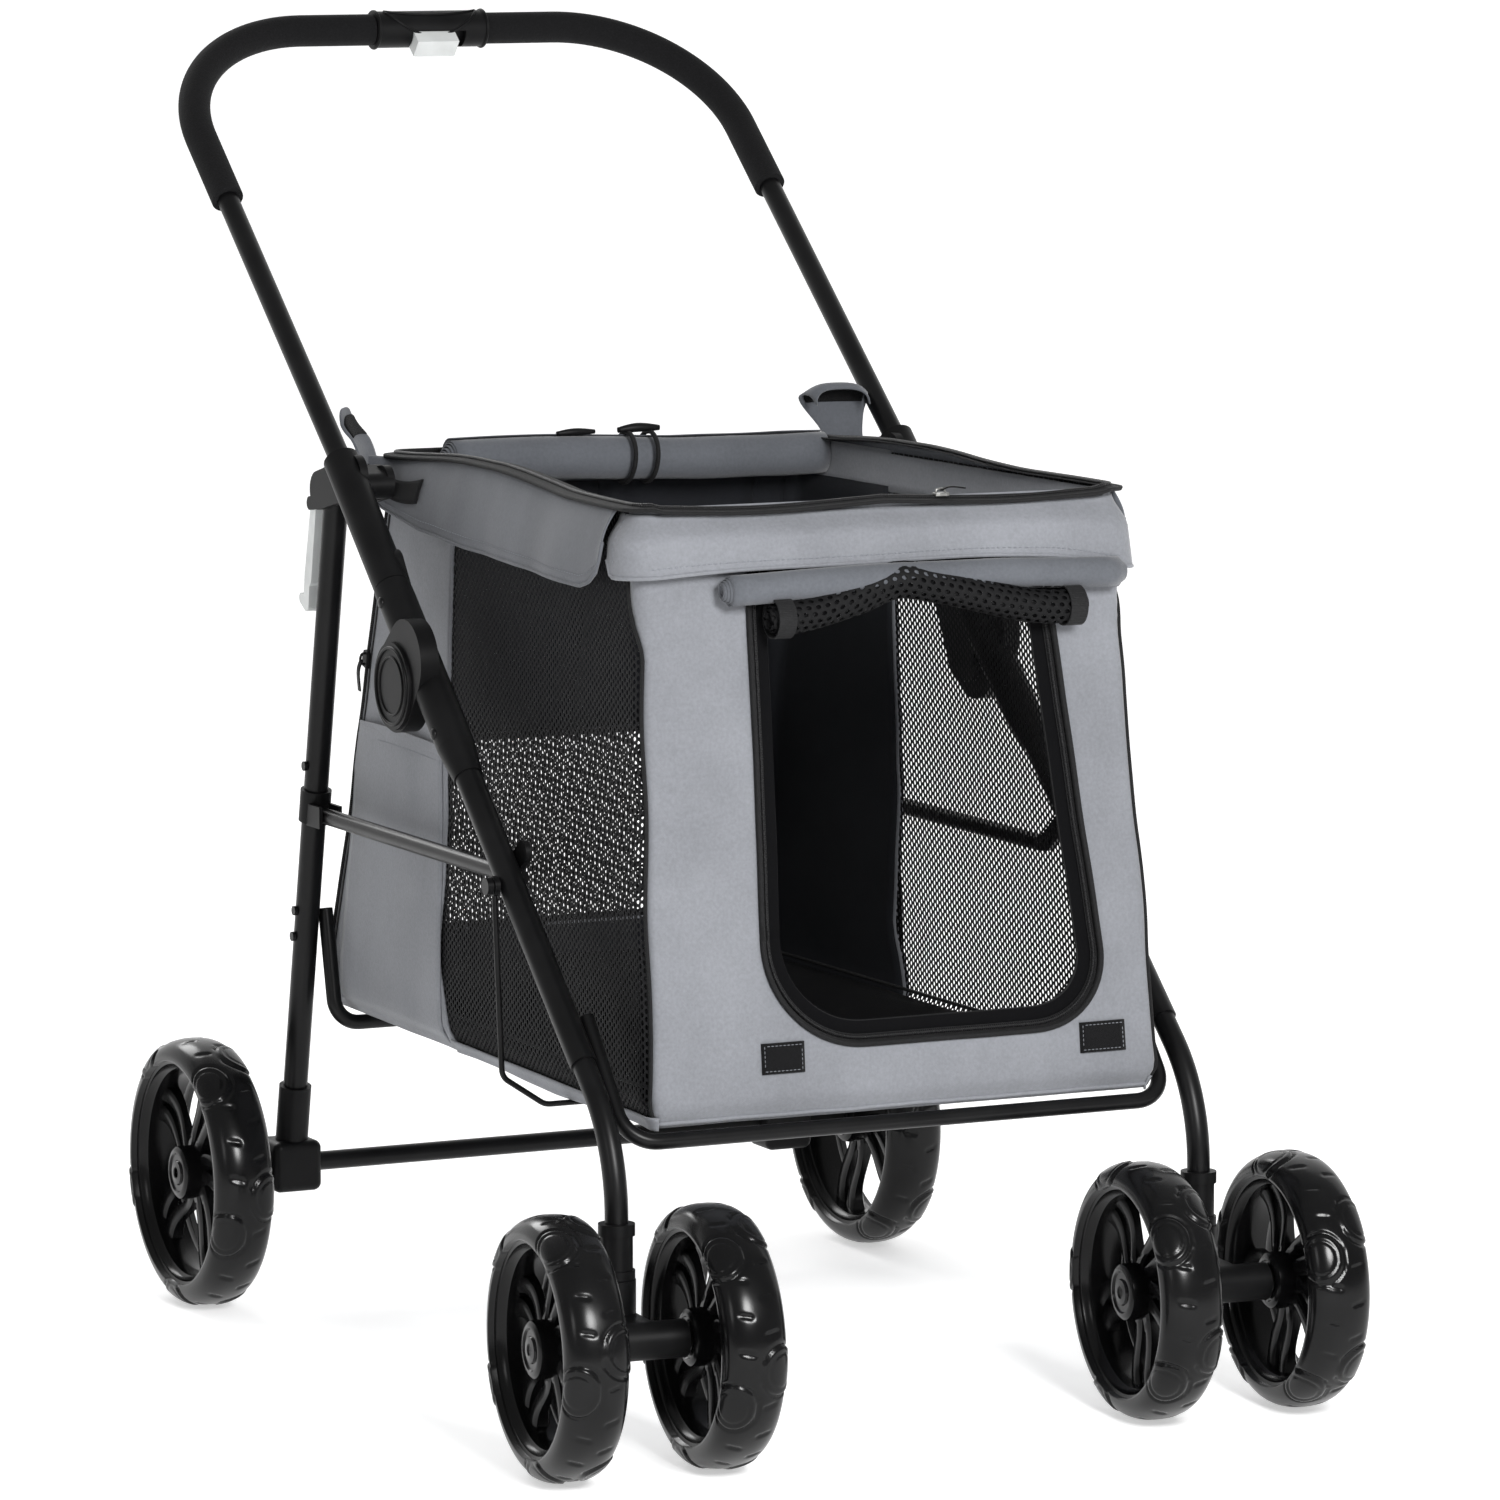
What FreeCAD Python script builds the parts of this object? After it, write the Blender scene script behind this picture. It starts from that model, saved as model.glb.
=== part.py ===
import FreeCAD
import Part
import Sketcher
import math
import os

# Folding pet stroller. Front faces -Y, +X is to the right seen from the front, +Z is up.
# The origin is on the floor, at the centre of the object's outline. All sizes are in mm.
# "left" is the -X side. Angles are in degrees.

Vector = FreeCAD.Vector
Rotation = FreeCAD.Rotation
X_AXIS = Vector(1, 0, 0)
Y_AXIS = Vector(0, 1, 0)
Z_AXIS = Vector(0, 0, 1)
SIDES = (("left", -1), ("right", 1))

# Driving dimensions: alias, value, what it is
DIMENSIONS = [
    ("rear_axle_y", 262, "rear axle behind the origin"),
    ("rear_wheel_radius", 100, "rear tyre radius, axle height"),
    ("rear_wheel_x", 274.5, "centre of a rear wheel from the middle plane"),
    ("front_wheel_radius", 90, "front tyre radius, axle height"),
    ("caster_x", 222.5, "swivel axis from the middle plane"),
    ("caster_y", -362, "swivel axis from the origin"),
    ("caster_lead", 35, "front axle ahead of its swivel axis"),
    ("caster_turn", -4.2, "how far the casters are turned at rest"),
    ("twin_wheel_x", 55.5, "centre of a front wheel from its swivel axis"),
    ("tyre_half_width", 22, "half the widest part of a tyre"),
    ("tyre_height", 17, "tyre from rim to tread"),
    ("rim_half_width", 16.5, "half the width of a rim"),
    ("rim_thickness", 7, "thickness of the rim's barrel"),
    ("wheel_hub_radius", 15, "outside of a wheel's hub"),
    ("wheel_hub_half_length", 20, "half the length of a wheel's hub"),
    ("wheel_web_half", 5, "half the thickness of a wheel's web"),
    ("axle_radius", 4, "axle rods"),
    ("running_gap", 0.08, "radial clearance of a turning fit"),
    ("handle_x", 222.5, "handle arms and front legs from the middle plane"),
    ("hub_y", 95, "point where the handle arm meets the front leg"),
    ("hub_z", 628, "height of that point"),
    ("handle_incline", 39.6, "handle above the horizontal"),
    ("leg_incline", 42, "front leg below the horizontal"),
    ("handle_length", 478, "from the hub point to the handle's cross bar"),
    ("handle_corner", 118, "bend radius of the handle's corners"),
    ("handle_radius", 8, "handle tube"),
    ("foam_radius", 12, "foam grips"),
    ("foam_reach", 293, "from the hub point to the foam's lower end"),
    ("grip_half_length", 46, "half the length of the grip housing"),
    ("grip_radius", 14, "grip housing"),
    ("upper_leg_radius", 9.5, "front leg's straight tube"),
    ("lower_leg_radius", 8, "front leg's bent foot"),
    ("leg_bend", 110, "bend radius of the front leg's foot"),
    ("tube_wall", 1.5, "wall of every tube"),
    ("rear_leg_x", 203, "rear legs from the middle plane"),
    ("rear_leg_radius", 9, "rear leg tube"),
    ("rear_pivot_y", 162, "rear leg's pivot in the hub"),
    ("rear_pivot_z", 612, "height of that pivot"),
    ("fold_pivot_y", -20, "fold pivot of the front leg"),
    ("fold_pivot_z", 490, "height of the fold pivot"),
    ("link_rear_y", 186, "side link's pivot on the rear leg"),
    ("link_front_y", -158, "side link's pivot on the front leg"),
    ("link_z", 370, "height of the side links"),
    ("link_radius", 6, "side link tube"),
    ("support_bar_radius", 5.5, "U-shaped bars under the cabin"),
    ("cradle_radius", 2, "wire under the cabin"),
    ("axle_tube_radius", 7, "tube between the rear brackets"),
    ("cabin_floor_z", 222, "underside of the cabin"),
    ("cabin_rim_z", 640, "rim of the cabin"),
    ("cabin_front_low", -350, "front of the cabin at the floor"),
    ("cabin_front_high", -310, "front of the cabin at the rim"),
    ("cabin_rear_low", 258, "rear of the cabin at the floor"),
    ("cabin_rear_high", 145, "rear of the cabin at the rim"),
    ("cabin_front_half", 192, "half width of the cabin's front at the floor"),
    ("cabin_rear_half", 177, "half width of the cabin's rear at the floor"),
    ("cabin_taper", 10, "how much narrower each side is at the rim"),
    ("cloth", 3, "thickness of the cabin's padded walls"),
    ("door_left", -98, "left edge of the door opening"),
    ("door_right", 140, "right edge of the door opening"),
    ("door_low", 270, "sill of the door opening"),
    ("door_high", 594, "top of the door opening"),
    ("door_corner", 60, "radius of the door's lower corners"),
]

doc = FreeCAD.newDocument("pet_stroller")
sheet = doc.addObject("Spreadsheet::Sheet", "dims")
for row_number, (alias, value, note) in enumerate(DIMENSIONS, start=1):
    sheet.set("A%d" % row_number, alias)
    sheet.set("B%d" % row_number, str(value))
    sheet.setAlias("B%d" % row_number, alias)
    sheet.set("C%d" % row_number, note)
doc.recompute()

subparts = []


def dim(alias):
    """A driving dimension as a number."""
    return float(sheet.get(alias))


def bind(obj, **formulas):
    """Tie an object's properties to the sheet: names in a formula are aliases."""
    for prop, formula in formulas.items():
        words = formula.split(" ")
        linked = ["dims." + word if word.isidentifier() else word for word in words]
        obj.setExpression(prop, " ".join(linked))


def keep(obj, node):
    """Name a finished sub-part and list it for export."""
    obj.Label = node
    subparts.append(obj)
    return obj


def along(start, direction, distance):
    """The point at a distance from start along a unit direction."""
    return start + direction * distance


def aim(direction):
    """The rotation that takes +Z onto a direction."""
    return Rotation(Z_AXIS, direction)


# ---------------------------------------------------------------- geometry of the frame

handle_angle = math.radians(dim("handle_incline"))
leg_angle = math.radians(dim("leg_incline"))
HANDLE_DIR = Vector(0, math.cos(handle_angle), math.sin(handle_angle))
LEG_DIR = Vector(0, -math.cos(leg_angle), -math.sin(leg_angle))
REAR_PIVOT = Vector(0, dim("rear_pivot_y"), dim("rear_pivot_z"))
# distance from the hub at which each tube starts, inside its moulding
LEG_TOP = 205
HANDLE_ROOT = 0
FOLD_PIVOT = Vector(0, dim("fold_pivot_y"), dim("fold_pivot_z"))
LINK_REAR = Vector(0, dim("link_rear_y"), dim("link_z"))
LINK_FRONT = Vector(0, dim("link_front_y"), dim("link_z"))
REAR_AXLE = Vector(0, dim("rear_axle_y"), dim("rear_wheel_radius"))
BRAKE_PIVOT = REAR_AXLE + Vector(0, 26, 8)
REAR_LEG_DIR = (REAR_AXLE - REAR_PIVOT).normalize()


def hub_point(side):
    """Where the handle arm and the front leg of one side meet."""
    return Vector(side * dim("handle_x"), dim("hub_y"), dim("hub_z"))


def sideways(point, x_place):
    """A point of the side view moved to a distance from the middle plane."""
    return Vector(x_place, point.y, point.z)


# ---------------------------------------------------------------- building blocks


def cylinder(start, direction, radius, length):
    """Part::Cylinder from start along direction; radius is a formula or a number."""
    obj = doc.addObject("Part::Cylinder", "cylinder")
    if isinstance(radius, str):
        bind(obj, Radius=radius)
    else:
        obj.Radius = radius
    if isinstance(length, str):
        bind(obj, Height=length)
    else:
        obj.Height = length
    obj.Placement = FreeCAD.Placement(start, aim(direction))
    return obj


def box(low, high):
    """Part::Box between two corners."""
    obj = doc.addObject("Part::Box", "box")
    obj.Length = high[0] - low[0]
    obj.Width = high[1] - low[1]
    obj.Height = high[2] - low[2]
    obj.Placement.Base = Vector(*low)
    return obj


def fuse(*pieces):
    """Part::MultiFuse of several objects."""
    obj = doc.addObject("Part::MultiFuse", "fuse")
    obj.Shapes = list(pieces)
    obj.Refine = True
    return obj


def cut(base, tool):
    """Part::Cut of two objects."""
    obj = doc.addObject("Part::Cut", "cut")
    obj.Base = base
    obj.Tool = tool
    obj.Refine = True
    return obj


def group(*pieces):
    """Part::Compound of separate solids that share one node."""
    obj = doc.addObject("Part::Compound", "group")
    obj.Links = list(pieces)
    return obj


def ring(start, direction, outer, inner, length):
    """A hollow cylinder; inner and outer are formulas or numbers."""
    hole = cylinder(along(start, direction, -1), direction, inner, 2)
    if isinstance(length, str):
        bind(hole, Height=length + " + 2")
    else:
        hole.Height = length + 2
    return cut(cylinder(start, direction, outer, length), hole)


def rounded_route(points, bends):
    """A wire of straight runs joined by tangent arcs of the given bend radii."""
    edges = []
    begin = points[0]
    for corner, after, bend in zip(points[1:-1], points[2:], bends):
        arriving = (corner - begin).normalize()
        leaving = (after - corner).normalize()
        half_turn = arriving.getAngle(leaving) / 2
        setback = bend * math.tan(half_turn)
        arc_start = corner - arriving * setback
        arc_end = corner + leaving * setback
        to_centre = (leaving - arriving).normalize()
        middle = corner + to_centre * (bend / math.cos(half_turn) - bend)
        edges.append(Part.LineSegment(begin, arc_start).toShape())
        edges.append(Part.Arc(arc_start, middle, arc_end).toShape())
        begin = arc_end
    edges.append(Part.LineSegment(begin, points[-1]).toShape())
    return Part.Wire(edges)


def swept_rod(points, bends, radius):
    """A Part::Sweep of a circle along a bent route; radius is a formula."""
    route = doc.addObject("Part::Feature", "route")
    route.Shape = rounded_route(points, bends)
    circle = doc.addObject("Part::Circle", "section")
    bind(circle, Radius=radius)
    circle.Placement = FreeCAD.Placement(points[0], aim(points[1] - points[0]))
    sweep = doc.addObject("Part::Sweep", "sweep")
    sweep.Sections = [circle]
    sweep.Spine = (route, ["Edge%d" % (n + 1) for n in range(len(route.Shape.Edges))])
    sweep.Solid = True
    sweep.Frenet = False
    return sweep


def swept_tube(points, bends, outer, inner):
    """A bent tube: one swept rod less another."""
    return cut(swept_rod(points, bends, outer), swept_rod(points, bends, inner))


def mirrored(source):
    """The same piece on the other side of the middle plane."""
    obj = doc.addObject("Part::Mirroring", "mirrored")
    obj.Source = source
    obj.Normal = X_AXIS
    return obj


def new_body(name):
    """A PartDesign body."""
    return doc.addObject("PartDesign::Body", name)


def new_sketch(body, role, offset=0):
    """A sketch on one of the body's own origin planes, moved along its normal."""
    plane = [f for f in body.Origin.OriginFeatures if f.Role == role][0]
    sketch = body.newObject("Sketcher::SketchObject", "sketch")
    sketch.AttachmentSupport = [(plane, "")]
    sketch.MapMode = "FlatFace"
    sketch.AttachmentOffset = FreeCAD.Placement(Vector(0, 0, offset), Rotation())
    return sketch


def draw_polygon(sketch, corners):
    """A closed polygon with its ends tied together."""
    points = [Vector(*corner, 0) for corner in corners]
    lines = [Part.LineSegment(a, b) for a, b in zip(points, points[1:] + points[:1])]
    first = sketch.addGeometry(lines, False)[0]
    last = first + len(points) - 1
    for index in range(first, last):
        sketch.addConstraint(Sketcher.Constraint("Coincident", index, 2, index + 1, 1))
    sketch.addConstraint(Sketcher.Constraint("Coincident", last, 2, first, 1))


def draw_belt(sketch, centre_a, radius_a, centre_b, radius_b):
    """The outline of a belt round two circles."""
    a = Vector(*centre_a, 0)
    b = Vector(*centre_b, 0)
    heading = math.atan2(b.y - a.y, b.x - a.x)
    spread = math.acos((radius_a - radius_b) / (b - a).Length)

    def rim_point(centre, radius, angle):
        return centre + Vector(math.cos(angle), math.sin(angle), 0) * radius

    a_up = rim_point(a, radius_a, heading + spread)
    a_back = rim_point(a, radius_a, heading + math.pi)
    a_down = rim_point(a, radius_a, heading - spread)
    b_up = rim_point(b, radius_b, heading + spread)
    b_front = rim_point(b, radius_b, heading)
    b_down = rim_point(b, radius_b, heading - spread)
    sketch.addGeometry(
        [
            Part.Arc(a_up, a_back, a_down),
            Part.LineSegment(a_down, b_down),
            Part.Arc(b_down, b_front, b_up),
            Part.LineSegment(b_up, a_up),
        ],
        False,
    )


def pad(body, sketch, length, reversed_pad=False):
    """A PartDesign pad; length is a formula or a number."""
    feature = body.newObject("PartDesign::Pad", "pad")
    feature.Profile = sketch
    if isinstance(length, str):
        bind(feature, Length=length)
    else:
        feature.Length = length
    feature.Reversed = reversed_pad
    return feature


def belt_plate(name, point_a, radius_a, point_b, radius_b, inner_x, outer_x, side):
    """A plate in the side view with a belt outline, between two distances from the middle."""
    body = new_body(name)
    start = side * inner_x if side > 0 else side * outer_x
    sketch = new_sketch(body, "YZ_Plane", start)
    draw_belt(sketch, (point_a.y, point_a.z), radius_a, (point_b.y, point_b.z), radius_b)
    pad(body, sketch, outer_x - inner_x)
    return body


def cross_pin(point, radius, inner_x, outer_x, side):
    """A cylinder across the object between two distances from the middle plane."""
    start = side * inner_x if side > 0 else side * outer_x
    return cylinder(sideways(point, start), X_AXIS, radius, outer_x - inner_x)


# ---------------------------------------------------------------- wheels


def place_wheel_piece(obj, centre, turn_axis):
    """Move a wheel piece to its centre, turned with its caster."""
    placed = FreeCAD.Placement(centre, Rotation())
    if turn_axis is not None:
        turn = FreeCAD.Placement(Vector(), Rotation(Z_AXIS, dim("caster_turn")), turn_axis)
        placed = turn.multiply(placed)
    obj.Placement = placed


def tyre(node, radius_alias, centre, turn_axis=None):
    """A tyre revolved about its axle: flat seat, bulging sides and a crowned tread."""
    radius = dim(radius_alias)
    seat = radius - dim("tyre_height")
    half = dim("tyre_half_width")
    rim_half = dim("rim_half_width")
    shoulder = half - 5
    tread_edge = radius - 4.5
    body = new_body(node + "_body")
    sketch = new_sketch(body, "XY_Plane")
    outline = [
        Part.LineSegment(Vector(-rim_half, seat, 0), Vector(rim_half, seat, 0)),
        Part.Arc(
            Vector(rim_half, seat, 0),
            Vector(half, (seat + tread_edge) / 2 - 1, 0),
            Vector(shoulder, tread_edge, 0),
        ),
        Part.Arc(
            Vector(shoulder, tread_edge, 0), Vector(0, radius, 0), Vector(-shoulder, tread_edge, 0)
        ),
        Part.Arc(
            Vector(-shoulder, tread_edge, 0),
            Vector(-half, (seat + tread_edge) / 2 - 1, 0),
            Vector(-rim_half, seat, 0),
        ),
    ]
    sketch.addGeometry(outline, False)
    turned = body.newObject("PartDesign::Revolution", "tyre_ring")
    turned.Profile = sketch
    turned.ReferenceAxis = (sketch, ["H_Axis"])
    turned.Angle = 360
    place_wheel_piece(body, centre, turn_axis)
    return keep(body, node)


def rim(node, radius_alias, centre, turn_axis=None):
    """A rim with five windows between its spokes and a bored hub."""
    outside = dim(radius_alias) - dim("tyre_height") - 0.05
    inside = outside - dim("rim_thickness")
    half = dim("rim_half_width")
    web = dim("wheel_web_half")
    hub = dim("wheel_hub_radius")
    hub_half = dim("wheel_hub_half_length")
    bore = dim("axle_radius") + dim("running_gap")
    body = new_body(node + "_body")
    sketch = new_sketch(body, "XY_Plane")
    draw_polygon(
        sketch,
        [
            (-half, outside),
            (-half, inside),
            (-web, inside - 4),
            (-web, hub + 3),
            (-hub_half, hub),
            (-hub_half, bore),
            (hub_half, bore),
            (hub_half, hub),
            (web, hub + 3),
            (web, inside - 4),
            (half, inside),
            (half, outside),
        ],
    )
    turned = body.newObject("PartDesign::Revolution", "rim_ring")
    turned.Profile = sketch
    turned.ReferenceAxis = (sketch, ["H_Axis"])
    turned.Angle = 360
    doc.recompute()
    window = new_sketch(body, "YZ_Plane")
    spoke_gap = math.radians(20)
    near = hub + 9
    far = inside - 5
    window_corners = []
    for angle, reach in ((-spoke_gap * 0.55, near), (-spoke_gap, far), (spoke_gap, far), (spoke_gap * 0.55, near)):
        window_corners.append((reach * math.sin(angle), reach * math.cos(angle)))
    draw_polygon(window, window_corners)
    pocket = body.newObject("PartDesign::Pocket", "window")
    pocket.Profile = window
    pocket.Type = 1
    pocket.Midplane = True
    doc.recompute()
    pattern = body.newObject("PartDesign::PolarPattern", "windows")
    pattern.Originals = [pocket]
    pattern.Axis = (window, ["N_Axis"])
    pattern.Angle = 360
    pattern.Occurrences = 5
    body.Tip = pattern
    place_wheel_piece(body, centre, turn_axis)
    return keep(body, node)


def build_rear_wheels():
    """Rear tyres and rims on the long axle."""
    for word, side in SIDES:
        centre = Vector(side * dim("rear_wheel_x"), dim("rear_axle_y"), dim("rear_wheel_radius"))
        tyre("rear_tyre_" + word, "rear_wheel_radius", centre)
        rim("rear_rim_" + word, "rear_wheel_radius", centre)


# ---------------------------------------------------------------- casters


def build_caster(word, side):
    """One front caster: fixed socket, swivelling housing, axle rod and twin wheels."""
    swivel = Vector(side * dim("caster_x"), dim("caster_y"), 0)
    axle_z = dim("front_wheel_radius")
    axle_point = swivel + Vector(0, -dim("caster_lead"), axle_z)
    turn = FreeCAD.Placement(Vector(), Rotation(Z_AXIS, dim("caster_turn")), swivel)
    stem_radius = 5
    housing_top = 126
    socket_top = 164
    stem_top = 148

    socket_body = cylinder(swivel + Vector(0, 0, housing_top + 0.5), Z_AXIS, 11, socket_top - housing_top - 0.5)
    collar = cylinder(swivel + Vector(0, 0, socket_top - 8), Z_AXIS, 12.5, 8)
    lip = cylinder(swivel + Vector(0, 0, housing_top + 0.5), Z_AXIS, 12.5, 6)
    stem_bore = cylinder(swivel + Vector(0, 0, housing_top), Z_AXIS, stem_radius + 0.08, stem_top - housing_top + 1)
    leg_bore = cylinder(swivel + Vector(0, 0, stem_top + 1), Z_AXIS, 8.05, socket_top - stem_top)
    socket = cut(fuse(socket_body, collar, lip), fuse(stem_bore, leg_bore))
    keep(socket, "caster_socket_" + word)

    column = cylinder(swivel + Vector(0, 0, axle_z - 12), Z_AXIS, 13, housing_top - axle_z + 12)
    stem = cylinder(swivel + Vector(0, 0, housing_top - 2), Z_AXIS, stem_radius, stem_top - housing_top + 2)
    arm = box(
        (swivel.x - 12, axle_point.y, axle_z - 13),
        (swivel.x + 12, swivel.y, axle_z + 13),
    )
    half_boss = dim("twin_wheel_x") - dim("wheel_hub_half_length") - 0.5
    boss = cylinder(axle_point - X_AXIS * half_boss, X_AXIS, 13, 2 * half_boss)
    axle_bore = cylinder(axle_point - X_AXIS * (half_boss + 1), X_AXIS, dim("axle_radius") + 0.02, 2 * half_boss + 2)
    housing = cut(fuse(column, stem, arm, boss), axle_bore)
    housing.Placement = turn
    keep(housing, "caster_housing_" + word)

    rod_half = dim("twin_wheel_x") + dim("wheel_hub_half_length") - 1
    rod = cylinder(axle_point - X_AXIS * rod_half, X_AXIS, "axle_radius", 2 * rod_half)
    rod.Placement = turn.multiply(rod.Placement)
    keep(rod, "caster_axle_" + word)

    for place, direction in (("left", -1), ("right", 1)):
        centre = axle_point + X_AXIS * (direction * dim("twin_wheel_x"))
        tyre("front_tyre_%s_%s" % (word, place), "front_wheel_radius", centre, swivel)
        rim("front_rim_%s_%s" % (word, place), "front_wheel_radius", centre, swivel)


# ---------------------------------------------------------------- rear frame


def build_rear_frame():
    """Rear legs, axle tube, axle rod, brackets, support bar and bolts."""
    leg_x = dim("rear_leg_x")
    axle_y = dim("rear_axle_y")
    axle_z = dim("rear_wheel_radius")
    bracket_inner = 184
    bracket_outer = 222
    bolts = []
    link_brackets = []
    for word, side in SIDES:
        top = sideways(along(REAR_PIVOT, REAR_LEG_DIR, -14), side * leg_x)
        leg_length = (REAR_AXLE - REAR_PIVOT).Length + 14 - 24
        leg_tube = ring(top, REAR_LEG_DIR, "rear_leg_radius", "rear_leg_radius - tube_wall", leg_length)
        pivot_hole = cross_pin(REAR_PIVOT, 5.08, leg_x - 12, leg_x + 12, side)
        keep(cut(leg_tube, pivot_hole), "rear_leg_" + word)

        collar_start = sideways(along(REAR_AXLE, REAR_LEG_DIR, -62), side * leg_x)
        collar = cylinder(collar_start, REAR_LEG_DIR, 12, 50)
        block_low = (min(side * bracket_inner, side * bracket_outer), axle_y - 19, axle_z - 19)
        block_high = (max(side * bracket_inner, side * bracket_outer), axle_y + 19, axle_z + 19)
        block = box(block_low, block_high)
        rounded = doc.addObject("Part::Fillet", "rounded_block")
        rounded.Base = block
        rounded.Edges = [(number, 6, 6) for number in range(1, 13)]
        boss_inner = cross_pin(REAR_AXLE, 11, bracket_outer - 4, 253, side)
        pedal_root = BRAKE_PIVOT - Vector(0, 14, 0)
        ear_a = belt_plate("brake_ear", BRAKE_PIVOT, 4.5, pedal_root, 5, 184.5, 189.6, side)
        ear_b = belt_plate("brake_ear", BRAKE_PIVOT, 4.5, pedal_root, 5, 216.4, 221.5, side)
        pedal_pin = cross_pin(BRAKE_PIVOT, 2, 186, 220, side)
        leg_seat = cylinder(
            sideways(along(REAR_AXLE, REAR_LEG_DIR, -64), side * leg_x), REAR_LEG_DIR, 9.05, 40.05
        )
        rod_bore = cross_pin(REAR_AXLE, dim("axle_radius") + 0.02, bracket_inner - 1, 255, side)
        tube_seat = cross_pin(REAR_AXLE, dim("axle_tube_radius") + 0.05, bracket_inner - 1, 192.05, side)
        solid = cut(fuse(collar, rounded, boss_inner, ear_a, ear_b), fuse(leg_seat, rod_bore, tube_seat))
        keep(fuse(solid, pedal_pin), "axle_bracket_" + word)

        for distance in (330, 442, 462):
            head = along(REAR_PIVOT, REAR_LEG_DIR, distance - 120)
            bolts.append(cross_pin(head, 3.5, leg_x + 9.1, leg_x + 11.5, side))
        saddle = ring(
            sideways(along(LINK_REAR, REAR_LEG_DIR, -14) + Vector(0, 22, 4), side * leg_x),
            REAR_LEG_DIR, 11.5, "rear_leg_radius + 0.05", 24,
        )
        ear_low = (side * leg_x - 9, LINK_REAR.y - 8, LINK_REAR.z - 8)
        ear_high = (side * leg_x + 9, LINK_REAR.y + 17, LINK_REAR.z + 8)
        slot_low = (side * leg_x - 6.4, LINK_REAR.y - 9, LINK_REAR.z - 9)
        slot_high = (side * leg_x + 6.4, LINK_REAR.y + 10, LINK_REAR.z + 9)
        ears = cut(box(ear_low, ear_high), box(slot_low, slot_high))
        link_pin = cross_pin(LINK_REAR, 2.5, leg_x - 9, leg_x + 9, side)
        leg_space = cylinder(top, REAR_LEG_DIR, dim("rear_leg_radius") + 0.05, leg_length)
        link_brackets.append(fuse(cut(fuse(saddle, ears), leg_space), link_pin))
    keep(group(*link_brackets), "link_brackets")
    keep(group(*bolts), "frame_bolts")

    tube_half = 192
    tube = ring(
        Vector(-tube_half, axle_y, axle_z), X_AXIS, "axle_tube_radius",
        "axle_tube_radius - tube_wall", 2 * tube_half,
    )
    keep(tube, "rear_axle_tube")
    rod_half = dim("rear_wheel_x") + dim("wheel_hub_half_length") - 1
    rod = cylinder(Vector(-rod_half, axle_y, axle_z), X_AXIS, "axle_radius", 2 * rod_half)
    keep(rod, "rear_axle_rod")

    bar_x = leg_x - dim("rear_leg_radius") - dim("support_bar_radius") - 0.4
    high = along(REAR_PIVOT, REAR_LEG_DIR, 322)
    low_z = dim("cabin_floor_z") - dim("support_bar_radius") - 4
    low_y = 206
    points = [
        Vector(-bar_x, high.y + 2, high.z),
        Vector(-bar_x, low_y, low_z),
        Vector(bar_x, low_y, low_z),
        Vector(bar_x, high.y + 2, high.z),
    ]
    keep(swept_rod(points, [18, 18], "support_bar_radius"), "rear_support_bar")


def build_brakes():
    """Foot pedals that turn on the rear brackets."""
    for word, side in SIDES:
        toe = BRAKE_PIVOT + Vector(0, 30, -4)
        pedal = belt_plate("pedal_" + word, BRAKE_PIVOT, 5, toe, 6.5, 190, 216, side)
        hole = cross_pin(BRAKE_PIVOT, 2.08, 189, 217, side)
        keep(cut(pedal, hole), "brake_pedal_" + word)


def build_latch():
    """Storage latch: a hooked lever that hangs behind the top of the left rear leg."""
    centre_x = dim("rear_leg_x") + 2
    pivot = Vector(0, 192, 600)
    knee = Vector(0, 204, 544)
    tail = Vector(0, 208, 524)
    inner = centre_x - 4
    outer = centre_x + 4
    lever = belt_plate("latch_lever", pivot, 5, knee, 6.5, inner, outer, -1)
    hook = belt_plate("latch_hook", knee + Vector(0, 1.5, 0), 5, tail, 5, inner, outer, -1)
    lip = belt_plate("latch_lip", tail, 5, tail + Vector(0, 9, 4), 4, inner, outer, -1)
    hole = cross_pin(pivot, 2.08, inner - 1, outer + 1, -1)
    keep(cut(fuse(lever, hook, lip), hole), "storage_latch")
    ear_gap = 0.4
    ears = []
    for near, far in ((inner - 3 - ear_gap, inner - ear_gap), (outer + ear_gap, outer + 3 + ear_gap)):
        ears.append(belt_plate("latch_ear", pivot, 5, pivot - Vector(0, 14, -2), 5, near, far, -1))
    pin = cross_pin(pivot, 2, inner - 3 - ear_gap, outer + 3 + ear_gap, -1)
    top = sideways(along(REAR_PIVOT, REAR_LEG_DIR, -14), -dim("rear_leg_x"))
    leg_space = cylinder(top, REAR_LEG_DIR, dim("rear_leg_radius") + 0.05, 200)
    keep(cut(fuse(pin, *ears), leg_space), "latch_bracket")


# ---------------------------------------------------------------- handle frame


def handle_points(start):
    """Corner points of the handle's U, its arms starting at a distance from the hub."""
    corners = []
    for side, reach in ((-1, start), (-1, dim("handle_length")), (1, dim("handle_length")), (1, start)):
        corners.append(along(hub_point(side), HANDLE_DIR, reach))
    return corners


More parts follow.
